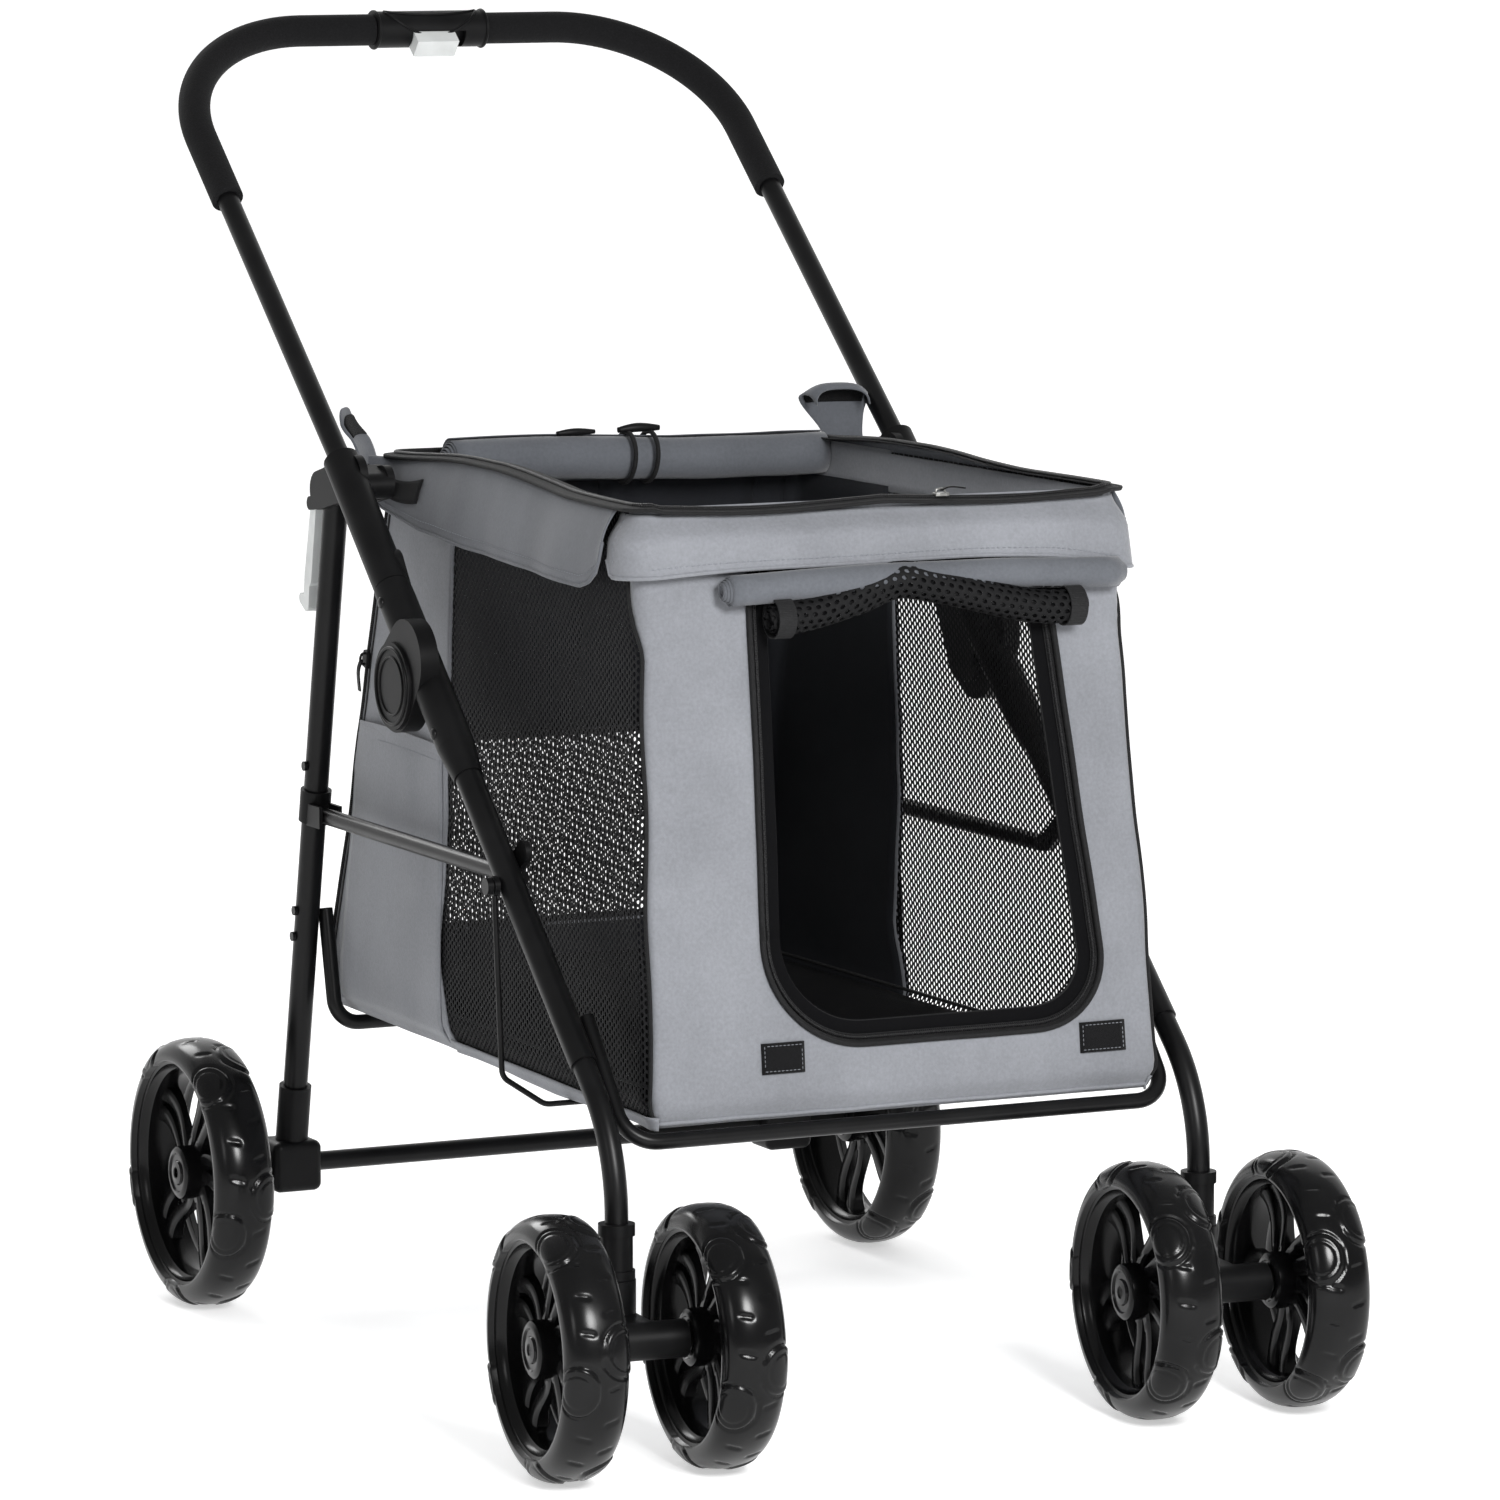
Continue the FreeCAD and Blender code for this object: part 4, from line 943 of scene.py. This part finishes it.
def build_rolls():
    """Rolled top cover with its loops, rolled door and rolled door netting."""
    cover_axis = []
    for k in range(25):
        f = k / 24
        x = -138 + 306 * f
        cover_axis.append((x, 112 + 3 * math.sin(f * 3.1), 634 - 5.5 * f + 1.2 * math.sin(f * 7)))
    # the rolled cover takes the darker grey, painted shade
    cover = spiral_roll("cover_cloth", cover_axis, 16.5, 8.0, M_GREY_PAINTED_SHADE)
    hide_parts("top_cover_roll")

    for index, x in enumerate((4.0, 22.0)):
        loop = circle((x, 112, 631.5), 18.6, 28, tall=18.4, lean=1.5)
        tube("cover_loop_%d" % index, loop, 1.8, M_BINDING, closed=True, sides=8)
    toggles = (
        ("cover_toggle", [(-2, 112, 651.6), (13, 110, 653.2), (30, 109, 652.6)], 2.0, 1.4),
        ("cover_toggle_far", [(-50, 114, 650.6), (-36, 113, 651.6), (-20, 113, 651.2)], 1.6, 1.0),
    )
    for name, line, thin, swell in toggles:
        tube(name, smooth_curve(line, 6), lambda f: thin + swell * math.sin(f * math.pi), M_MOULDED, sides=12)

    door_axis = []
    for k in range(27):
        f = k / 26
        x = -126 + 302 * f
        lift = 3.5 * math.sin(f * math.pi)
        door_axis.append((x, -329.0 - 1.0 * math.sin(f * 6), 581.5 + lift))
    # the rolled door takes the darker grey, painted shade
    door = spiral_roll("door_cloth", door_axis, 10.6, 7.6, M_GREY_PAINTED_SHADE, sheet_gap=0.88)
    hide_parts("door_roll")

    mesh_axis = smooth_curve(
        [(-93, -333, 561), (-62, -332, 565), (-30, -331, 573), (2, -330, 583), (30, -331, 579),
         (66, -332, 571), (104, -333, 562), (143, -333, 560)], 5)
    netting_roll = spiral_roll("door_netting", mesh_axis, 13.0, 5.0, M_ROLLNET)
    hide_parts("mesh_roll")
    tube("door_netting_core", mesh_axis, 9.6, M_CUSHION, sides=14)
    for index, at in enumerate((1, len(mesh_axis) - 2)):
        band = circle(mesh_axis[at], 13.4, 24)
        ribbon("door_netting_end_%d" % index, band, lambda i, t: (1, 0, 0), 13, 1.0, M_TAPE, closed=True)


def build_front_flap():
    """Front flap with its hem and stitching."""

    def front_point(u, v):
        reach = 203.0
        s_here = -reach + 2 * reach * u
        low = 590.0 + 7.0 * math.sin(u * math.pi) - 8.0 * ease((u - 0.8) / 0.2) + 1.0 * math.sin(u * 11)
        z_top = 633.5 - 2.0 * math.sin(u * math.pi)
        z = z_top + (low - z_top) * v
        corner = min(u, 1 - u) * 2 * reach
        if corner < 12 and v > 0.6:
            round_off = 12 - math.sqrt(max(0.0, 144 - (12 - corner) ** 2))
            z += round_off * (v - 0.6) / 0.4
        point, normal = around(s_here, z)
        swell = 9.0 * ease(v * 2.2) + 2.0 * v + 1.6 * wobble(s_here, z, 0, 70, 6.0)
        return point + normal * (swell + 1.0)

    flap = grid("front_flap_cloth", front_point, 90, 16, M_GREY, thickness=1.3, offset=0.0)
    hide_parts("front_flap")
    rows = [[front_point(0.02 + 0.96 * k / 60, 0.86) + Vector((0, -0.9, 0)) for k in range(61)]]
    for u in (0.022, 0.978):
        lift = Vector((math.copysign(0.9, u - 0.5), -0.6, 0))
        rows.append([front_point(u, 0.1 + 0.76 * k / 10) + lift for k in range(11)])
    stitches("front_flap_stitches", rows)
    edge = [front_point(k / 90, 1.0) for k in range(91)]
    tube("front_flap_edge", edge, 1.5, M_GREY, sides=8)


# the side flaps' reach in y, and their lower edge as z at a y
FLAP_FRONT = -291
FLAP_LENGTH = 459
FLAP_LOW = ((-290, 612), (-282, 594), (-268, 585), (-251, 581), (-202, 582), (-110, 584), (-23, 586),
            (50, 592), (121, 602), (150, 613), (168, 627))


def build_side_flaps():
    """Side flaps with their hems, stitching and hook-and-loop patches."""
    for word, side in SIDES:

        def side_point(u, v, side=side):
            y = FLAP_FRONT + FLAP_LENGTH * u
            low = interpolate(FLAP_LOW, y)
            y_inner = min(y, 128)
            s_here = side * side_s(y_inner, RIM_Z)
            top = rim_point(s_here)
            top_z = top.z - 1.5
            x_top = abs(top.x) + 6.0
            z = top_z + (low - top_z) * v
            past = max(0.0, y - y_inner)
            flare = 13.0 * (1 - (1 - v) ** 1.6) + 1.8 * wobble(y, z, 0, 60, 2.5) + past * 0.3
            wave = 1.3 * math.sin(y / 37.0) * v
            return Vector((side * (x_top + flare + wave), y, z))

        # the side flaps and their edges take the darker grey, painted shade
        flap = grid("side_flap_cloth_" + word, side_point, 84, 14, M_GREY_PAINTED_SHADE, thickness=1.2, offset=0.0)
        if side < 0:
            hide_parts("side_flaps")
        hem = [side_point(k / 84, 1.0) for k in range(85)]
        tube("side_flap_edge_" + word, hem, 1.3, M_GREY_PAINTED_SHADE, sides=8)
        rows = [[side_point(0.02 + 0.94 * k / 70, 0.87) + Vector((side * 0.9, 0, 0)) for k in range(71)]]
        stitches("side_flap_stitches_" + word, rows)

        def patch_point(u, v, side=side):
            y = 162 - 104 * u
            middle_v = 0.34 + 0.24 * math.sin(u * math.pi * 0.8)
            u_here = (y - FLAP_FRONT) / FLAP_LENGTH
            return side_point(u_here, middle_v + 0.36 * (v - 0.5)) + Vector((side * 1.4, 0, 0.6))

        grid("side_flap_patch_" + word, patch_point, 24, 6, M_HOOK, thickness=1.2)


# the line each rear corner strap follows upwards from the rim
RIGHT_STRAP = ((17, 143, 630), (14, 147, 645), (10, 149, 658), (8, 147, 668), (7, 141, 675),
               (6, 133, 677.5), (6, 126, 674))
LEFT_STRAP = ((2, 143, 630), (4, 146, 642), (8, 149, 654), (13, 151, 665), (17, 151, 675))


def build_straps():
    """Rear corner straps with their hook-and-loop faces."""
    for word, side in SIDES:
        profile = smooth_curve(RIGHT_STRAP if side > 0 else LEFT_STRAP, 8)

        def strap_point(u, v, side=side, profile=profile):
            place = u * (len(profile) - 1)
            index = min(int(place), len(profile) - 2)
            centre = profile[index].lerp(profile[index + 1], place - index)
            round_top = 13.0 * ease((u - 0.35) / 0.65) * (abs(2 * v - 1) ** 3)
            width = 28 + 29 * ease(u / 0.55) if side > 0 else 44
            across = (v - 0.5) * (width - 1.2 * round_top)
            twist = math.radians(8 if side > 0 else 52)
            x = 183 + centre.x + across * math.cos(twist)
            y = centre.y + 4.0 * math.sin(v * math.pi) - across * math.sin(twist)
            return Vector((side * x, y, centre.z - 0.9 * round_top - (3 if side < 0 else 0) * u))

        # the straps take the darker grey, painted shade
        strap = grid("rear_strap_" + word, strap_point, 36, 14, M_GREY_PAINTED_SHADE, thickness=1.3, offset=0.0)
        # the flat sizes are set to match the area of the shaped straps
        hook = []
        hook_from = 0.42 if side > 0 else 0.5
        lift = Vector((0, -1.3, -0.5)) if side > 0 else Vector((1.1, -0.9, 0))
        for j in range(7):
            for i in range(13):
                hook.append(strap_point(hook_from + 0.36 * j / 6, 0.08 + 0.84 * i / 12) + lift)
        patch = mesh_object("rear_strap_hook_" + word, hook, quads(7, 13), M_HOOK)
        thicken(patch, 0.9, 0.0)


def build_door_trim():
    """Binding, zipper coil and tape round the door opening, and the fastening patches."""
    def path(grow, inset):
        return [wall(x, z, inset) for x, z in door_outline(grow, 5.0)]

    def outward(points):
        middle = sum(points, Vector()) / len(points)
        return lambda i, t: (points[i] - middle)

    tube("door_binding", path(0.5, -1.2), 2.1, M_BINDING, closed=True, sides=8)
    tube("door_coil", path(-4.0, 1.2), 1.5, M_COIL, closed=True, sides=8)
    tape = path(-2.0, 2.2)
    ribbon("door_tape", tape, outward(tape), 8, 0.9, M_TAPE, closed=True)
    facing = path(-8.0, 4.0)
    ribbon("door_facing", facing, outward(facing), 13, 1.0, M_CUSHION, closed=True)
    tube("door_facing_edge", path(-14.0, 5.0), 1.2, M_BINDING, closed=True, sides=8)

    for index, (x0, x1, z0, z1) in enumerate(((-108, -76, 254, 275), (130, 164, 251, 272))):
        def patch_point(u, v):
            x = x0 + (x1 - x0) * u
            return wall(x, z0 + (z1 - z0) * v, -1.5)

        grid("front_patch_%d" % index, patch_point, 8, 6, M_HOOK, thickness=1.3)
        border = []
        inset = 2.0
        left, right, low, high = x0 + inset, x1 - inset, z0 + inset, z1 - inset
        corners = [(left, low), (right, low), (right, high), (left, high)]
        for (xa, za), (xb, zb) in zip(corners, corners[1:] + corners[:1]):
            border.append([wall(xa + (xb - xa) * k / 8, za + (zb - za) * k / 8, -1.9) for k in range(9)])
        stitches("front_patch_stitches_%d" % index, border, pitch=3.0, length=2.1)


# ------------------------------------------------------------------ wheels


# heights in the tyres' pattern, and where the wheels stand
PAD_HEIGHT = 1.0
REAR_RADIUS = 100.0
FRONT_RADIUS = 90.0
REAR_WHEEL = (274.5, 262)
CASTER = (222.5, -362)
CASTER_TRAIL = -35.0
HALF_SPREAD = 55.5
CASTER_TURN = math.radians(-4.2)


def tyre_mesh(radius, seat, half):
    """Tyre: round side walls, a notched tread in the middle and five raised round pads a side."""
    around_steps = 440
    notch_count = 22
    pad_reach = 16.5
    profile = []
    for k in range(57):
        angle = math.pi * k / 56
        x = -half * math.copysign(abs(math.cos(angle)) ** 0.86, math.cos(angle))
        profile.append((x, seat + (radius - seat) * math.sin(angle) ** 0.80))
    lengths = [0.0]
    for (x0, r0), (x1, r1) in zip(profile, profile[1:]):
        lengths.append(lengths[-1] + math.hypot(x1 - x0, r1 - r0))
    girth = lengths[-1]
    verts = []
    for i in range(around_steps):
        phi = 2 * math.pi * i / around_steps
        for (x, r), run in zip(profile, lengths):
            across = abs(x) / half
            saw = (phi * notch_count / (2 * math.pi) + (0.5 if x > 0 else 0.0) + 0.2 * across) % 1.0
            notch = 1.1 * math.exp(-((saw - 0.5) / 0.065) ** 2) * ease((0.7 - across) / 0.2)
            notch *= ease((across - 0.12) / 0.12)
            pad_angle = (phi + (0.3 if x > 0 else 0.0)) % (2 * math.pi / 5) - math.pi / 5
            from_bead = min(run, girth - run)
            dist = math.hypot(pad_angle * radius * 0.92, from_bead - 14.0)
            pad = ease((pad_reach - dist) / 1.6) - 1.5 * math.exp(-((dist - pad_reach - 1.0) / 0.9) ** 2)
            pad -= 0.8 * math.exp(-((dist - pad_reach + 5.0) / 0.7) ** 2)
            push = PAD_HEIGHT * pad * ease(from_bead / 4.0)
            push -= notch * (1 - ease((pad_reach + 2 - dist) / 2.0))
            tilt = math.atan2(max(r - seat, 0.0) / (radius - seat), x / half)
            x_here = x + push * math.cos(tilt)
            r_here = r + push * math.sin(tilt)
            verts.append((x_here, r_here * math.cos(phi), r_here * math.sin(phi)))
    return verts, quads(around_steps, len(profile), loop_rows=True, loop_cols=True)


def ring_faces(verts, profile, steps):
    """Adds a revolved profile of (x, r) pairs, closed on itself, and returns its faces."""
    base = len(verts)
    for i in range(steps):
        phi = 2 * math.pi * i / steps
        for x, r in profile:
            verts.append((x, r * math.cos(phi), r * math.sin(phi)))
    return quads(steps, len(profile), base, loop_rows=True, loop_cols=True)


def rim_mesh(seat, half):
    """Rim barrel with a stepped lip, split curved spokes, hub barrel and cap."""
    verts = []
    faces = []
    lip = half + 2.0
    barrel = [
        (-lip, seat + 0.6), (-lip + 1.2, seat - 2.2), (-half + 3, seat - 3.4), (-half + 5, seat - 6.0),
        (-3, seat - 7.5), (3, seat - 7.5), (half - 5, seat - 6.0), (half - 3, seat - 3.4),
        (lip - 1.2, seat - 2.2), (lip, seat + 0.6), (half - 2, seat - 0.6), (-half + 2, seat - 0.6),
    ]
    faces += ring_faces(verts, barrel, 120)
    half_hub = [(14.0, 20.0), (17.6, 19.2), (19.0, 17.2), (19.2, 14.6), (18.0, 13.6), (18.0, 9.4),
                (19.4, 8.6), (19.8, 4.4), (19.0, 3.8), (19.0, 0.3)]
    hub = [(0, 19.5)] + [(-x, r) for x, r in half_hub] + half_hub[::-1]
    faces += ring_faces(verts, hub, 72)
    reach_from = 19.0
    reach_to = seat - 5.6
    section = ((-1, -0.7), (-0.55, -1), (0.55, -1), (1, -0.7), (1, 0.7), (0.55, 1), (-0.55, 1), (-1, 0.7))
    count = len(section)
    for spoke in range(5):
        for rib in (-1, 1):
            steps = 18
            start = len(verts)
            for k in range(steps + 1):
                f = k / steps
                r = reach_from + (reach_to - reach_from) * f
                inner_edge = 1.2 + 2.6 * math.sin(f * math.pi) ** 0.8
                outer_edge = 11.0 + 4.0 * math.sin(f * math.pi * 0.7) + 14.0 * max(0.0, f - 0.74) ** 1.3
                middle = (inner_edge + outer_edge) / 2
                width = (outer_edge - inner_edge) / 2
                phi = 2 * math.pi * spoke / 5 + 0.30 * math.sin(f * math.pi * 0.75) + rib * middle / r
                depth = 6.5 - 2.8 * math.sin(f * math.pi)
                radial = Vector((0, math.cos(phi), math.sin(phi)))
                tangent = Vector((0, -math.sin(phi), math.cos(phi)))
                for a, b in section:
                    verts.append(tuple(radial * r + tangent * (a * width) + Vector((b * depth, 0, 0))))
            faces += quads(steps + 1, count, start, loop_cols=True)
            faces.append(tuple(start + a for a in reversed(range(count))))
            faces.append(tuple(start + steps * count + a for a in range(count)))
    return verts, faces


def build_wheel(label, radius, centre, turn, phase):
    """One wheel: tyre and rim at its place, turned by a phase about its axle."""
    seat = radius - 17.0
    body = label.replace("tyre", "wheel")
    place = Matrix.Translation(Vector(centre)) @ Matrix.Rotation(turn, 4, "Z")
    place = place @ Matrix.Rotation(phase, 4, "X")
    for node, (verts, faces), material in (
        (label, tyre_mesh(radius - PAD_HEIGHT, seat, 22.4), M_TYRE),
        (label.replace("tyre", "rim"), rim_mesh(seat, 16.5), M_WHEEL),
    ):
        piece = mesh_object("visual_" + node, [place @ Vector(v) for v in verts], faces, material, body=body)
        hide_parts(node)
    # the last piece made is the rim, whose edges stay crisp
    modifier(piece, "EDGE_SPLIT", split_angle=math.radians(38), use_edge_sharp=False)


def build_wheels():
    """All six wheels."""
    cosine, sine = math.cos(CASTER_TURN), math.sin(CASTER_TURN)
    for word, side in SIDES:
        rear = (side * REAR_WHEEL[0], REAR_WHEEL[1], REAR_RADIUS)
        build_wheel("rear_tyre_" + word, REAR_RADIUS, rear, 0.0, 0.35 if side < 0 else 1.0)
        for place, direction in SIDES:
            x = direction * HALF_SPREAD
            centre = (
                side * CASTER[0] + x * cosine - CASTER_TRAIL * sine,
                CASTER[1] + x * sine + CASTER_TRAIL * cosine,
                FRONT_RADIUS,
            )
            phase = 0.15 + 0.5 * (side > 0) + 0.25 * (direction > 0)
            build_wheel("front_tyre_%s_%s" % (word, place), FRONT_RADIUS, centre, CASTER_TURN, phase)


# ------------------------------------------------------------------ hard parts kept from the CAD


def dress(names, material):
    """Gives CAD nodes a finish and clean shading."""
    for name in names:
        obj = NODES[name]
        obj.data.materials.clear()
        obj.data.materials.append(material)
        obj.data.polygons.foreach_set("use_smooth", [True] * len(obj.data.polygons))
        modifier(obj, "EDGE_SPLIT", split_angle=math.radians(32), use_edge_sharp=False)


def dress_frame():
    """Finishes for the frame's tubes, mouldings and fittings."""
    sides = ("left", "right")
    tubes = ["rear_support_bar", "front_support_bar", "rear_axle_tube", "wire_cradle", "handle_tube"]
    tubes += [stem + side for stem in ("rear_leg_", "front_leg_", "side_link_") for side in sides]
    dress(tubes, M_TUBE)
    moulded = ["link_brackets", "pivot_covers", "latch_bracket", "grip_housing_inner", "grip_housing_outer"]
    stems = ("hub_shell_", "leg_socket_", "axle_bracket_", "brake_pedal_", "caster_socket_",
             "caster_housing_")
    moulded += [stem + side for stem in stems for side in sides]
    dress(moulded, M_MOULDED)
    dress(["foam_grip_left", "foam_grip_right"], M_FOAM)
    dress(["release_slider", "storage_latch"], M_LIGHT)
    pins = ["rear_axle_rod", "frame_bolts", "cradle_bolts", "caster_axle_left", "caster_axle_right"]
    dress(pins, M_TUBE)


# ------------------------------------------------------------------ small fittings


PIVOT_Y = -20.0
PIVOT_Z = 490.0


def build_pivot_details():
    """Raised rings on the round pivot covers."""
    for word, side in SIDES:
        for radius, minor in ((27.0, 1.3), (20.5, 0.9)):
            ring = circle((side * 238.7, PIVOT_Y, PIVOT_Z), radius, 64)
            tube("pivot_ring_%d_%s" % (int(radius), word), ring, minor, M_MOULDED, closed=True, sides=8)


HUB_Y = 95.0
HUB_Z = 628.0
LEG_INCLINE = math.radians(42)


def build_rivets():
    """Domed rivet heads along the front leg sockets."""

    def dome(f):
        return 4.2 * math.sqrt(max(0.04, 1 - f ** 3))

    root = Vector((0, HUB_Y, HUB_Z))
    down = Vector((0, -math.cos(LEG_INCLINE), -math.sin(LEG_INCLINE)))
    for word, side in SIDES:
        for index, (reach, surface) in enumerate(((122, 235.4), (246, 235.4), (276, 231.6))):
            centre = root + down * reach
            line = [Vector((side * (surface + step), centre.y, centre.z)) for step in (-1.0, 0.8, 1.5, 1.9)]
            tube("leg_rivet_%d_%s" % (index, word), line, dome, M_TUBE, sides=16)


def build_grip_details():
    """Scooped thumb rest and end rings on the housing in the middle of the handle."""
    low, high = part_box("grip_housing_outer")
    low_b, high_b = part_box("grip_housing_inner")
    centre = (Vector(low) + Vector(high) + Vector(low_b) + Vector(high_b)) / (4 * MM)
    radius = 14.2
    half = 38.0
    for name, high_angle, dip in (("grip_scoop_upper", 78, 26), ("grip_scoop_lower", 70, 88)):
        line = []
        for k in range(41):
            f = 2 * k / 40 - 1
            angle = math.radians(high_angle - dip * (1 - f * f) ** 0.8)
            line.append(centre + Vector((f * half, -radius * math.cos(angle), radius * math.sin(angle))))
        tube(name, line, 1.0, M_MOULDED, sides=8, body="handle_frame")
    for index, x in enumerate((-44.5, 44.5)):
        ring = circle(centre + Vector((x, 0, 0)), radius, 40)
        tube("grip_ring_%d" % index, ring, 1.1, M_MOULDED, closed=True, sides=8, body="handle_frame")


# ------------------------------------------------------------------ studio

# where the photograph was taken from: metres and degrees
CAMERA_PLACE = (-2.3126, -4.9048, 1.1234)
CAMERA_YAW = 25.787
CAMERA_PITCH = 7.296
CAMERA_LENS = 182.2
CAMERA_SHIFT = -0.0049
LIGHTS = (
    ("key", (-0.2, -2.7, 1.55), 0.8, 72),
    ("side", (-3.2, -2.0, 1.5), 0.9, 8),
    ("back", (-0.4, 2.8, 2.2), 1.4, 35),
)
LIGHTS_AIM = Vector((0, 0, 0.45))
WORLD_STRENGTH = 0.38
FLOOR_GLOW = 0.5


def add_to_stage(name, data, place, direction):
    """A lamp or camera at a place, looking along a direction."""
    obj = bpy.data.objects.new(name, data)
    bpy.context.scene.collection.objects.link(obj)
    obj.location = place
    obj.rotation_mode = "QUATERNION"
    obj.rotation_quaternion = direction.to_track_quat("-Z", "Y")
    return obj


def build_backdrop():
    """A pale floor that curves up behind the object."""
    look = Look("studio_floor", (0.9, 0.9, 0.9), 0.95, specular=0.1)
    look.inputs["Emission Color"].default_value = (1, 1, 1, 1)
    look.inputs["Emission Strength"].default_value = FLOOR_GLOW
    mesh = bpy.data.meshes.new("studio_floor")
    profile = [(-9.0, 0.0), (3.0, 0.0)]
    for k in range(1, 25):
        angle = math.pi / 2 * k / 24
        profile.append((3.0 + 3.0 * math.sin(angle), 3.0 - 3.0 * math.cos(angle)))
    profile.append((6.0, 9.0))
    turn = Matrix.Rotation(math.radians(-CAMERA_YAW), 3, "Z")
    verts = []
    for y, z in profile:
        for x in (-14.0, 14.0):
            verts.append(turn @ Vector((x, y, z)))
    faces = quads(len(profile), 2)
    mesh.from_pydata(verts, [], faces)
    mesh.polygons.foreach_set("use_smooth", [True] * len(faces))
    floor = bpy.data.objects.new("studio_floor", mesh)
    floor.data.materials.append(look.material)
    bpy.context.scene.collection.objects.link(floor)


def build_studio():
    """Backdrop, soft lights and the camera at the photograph's angle."""
    build_backdrop()
    scene = bpy.context.scene
    scene.world = bpy.data.worlds.new("studio")
    scene.world.use_nodes = True
    background = scene.world.node_tree.nodes["Background"]
    background.inputs["Color"].default_value = (1, 1, 1, 1)
    background.inputs["Strength"].default_value = WORLD_STRENGTH
    for name, place, width, power in LIGHTS:
        data = bpy.data.lights.new(name, "AREA")
        data.shape = "DISK"
        data.size = width
        data.energy = power
        add_to_stage(name, data, place, LIGHTS_AIM - Vector(place))

    yaw = math.radians(CAMERA_YAW)
    pitch = math.radians(CAMERA_PITCH)
    forward = Vector((math.cos(pitch) * math.sin(yaw), math.cos(pitch) * math.cos(yaw), -math.sin(pitch)))
    data = bpy.data.cameras.new("photo_camera")
    data.sensor_width = 36.0
    data.lens = CAMERA_LENS
    data.shift_x = CAMERA_SHIFT
    data.clip_end = 60
    scene.camera = add_to_stage("photo_camera", data, CAMERA_PLACE, forward)
    scene.view_settings.view_transform = "Standard"


build_studio()
dress_frame()
build_cabin()
build_cushion()
build_door_trim()
build_rim()
build_rolls()
build_front_flap()
build_side_flaps()
build_straps()
build_wheels()
build_pivot_details()
build_rivets()
build_grip_details()
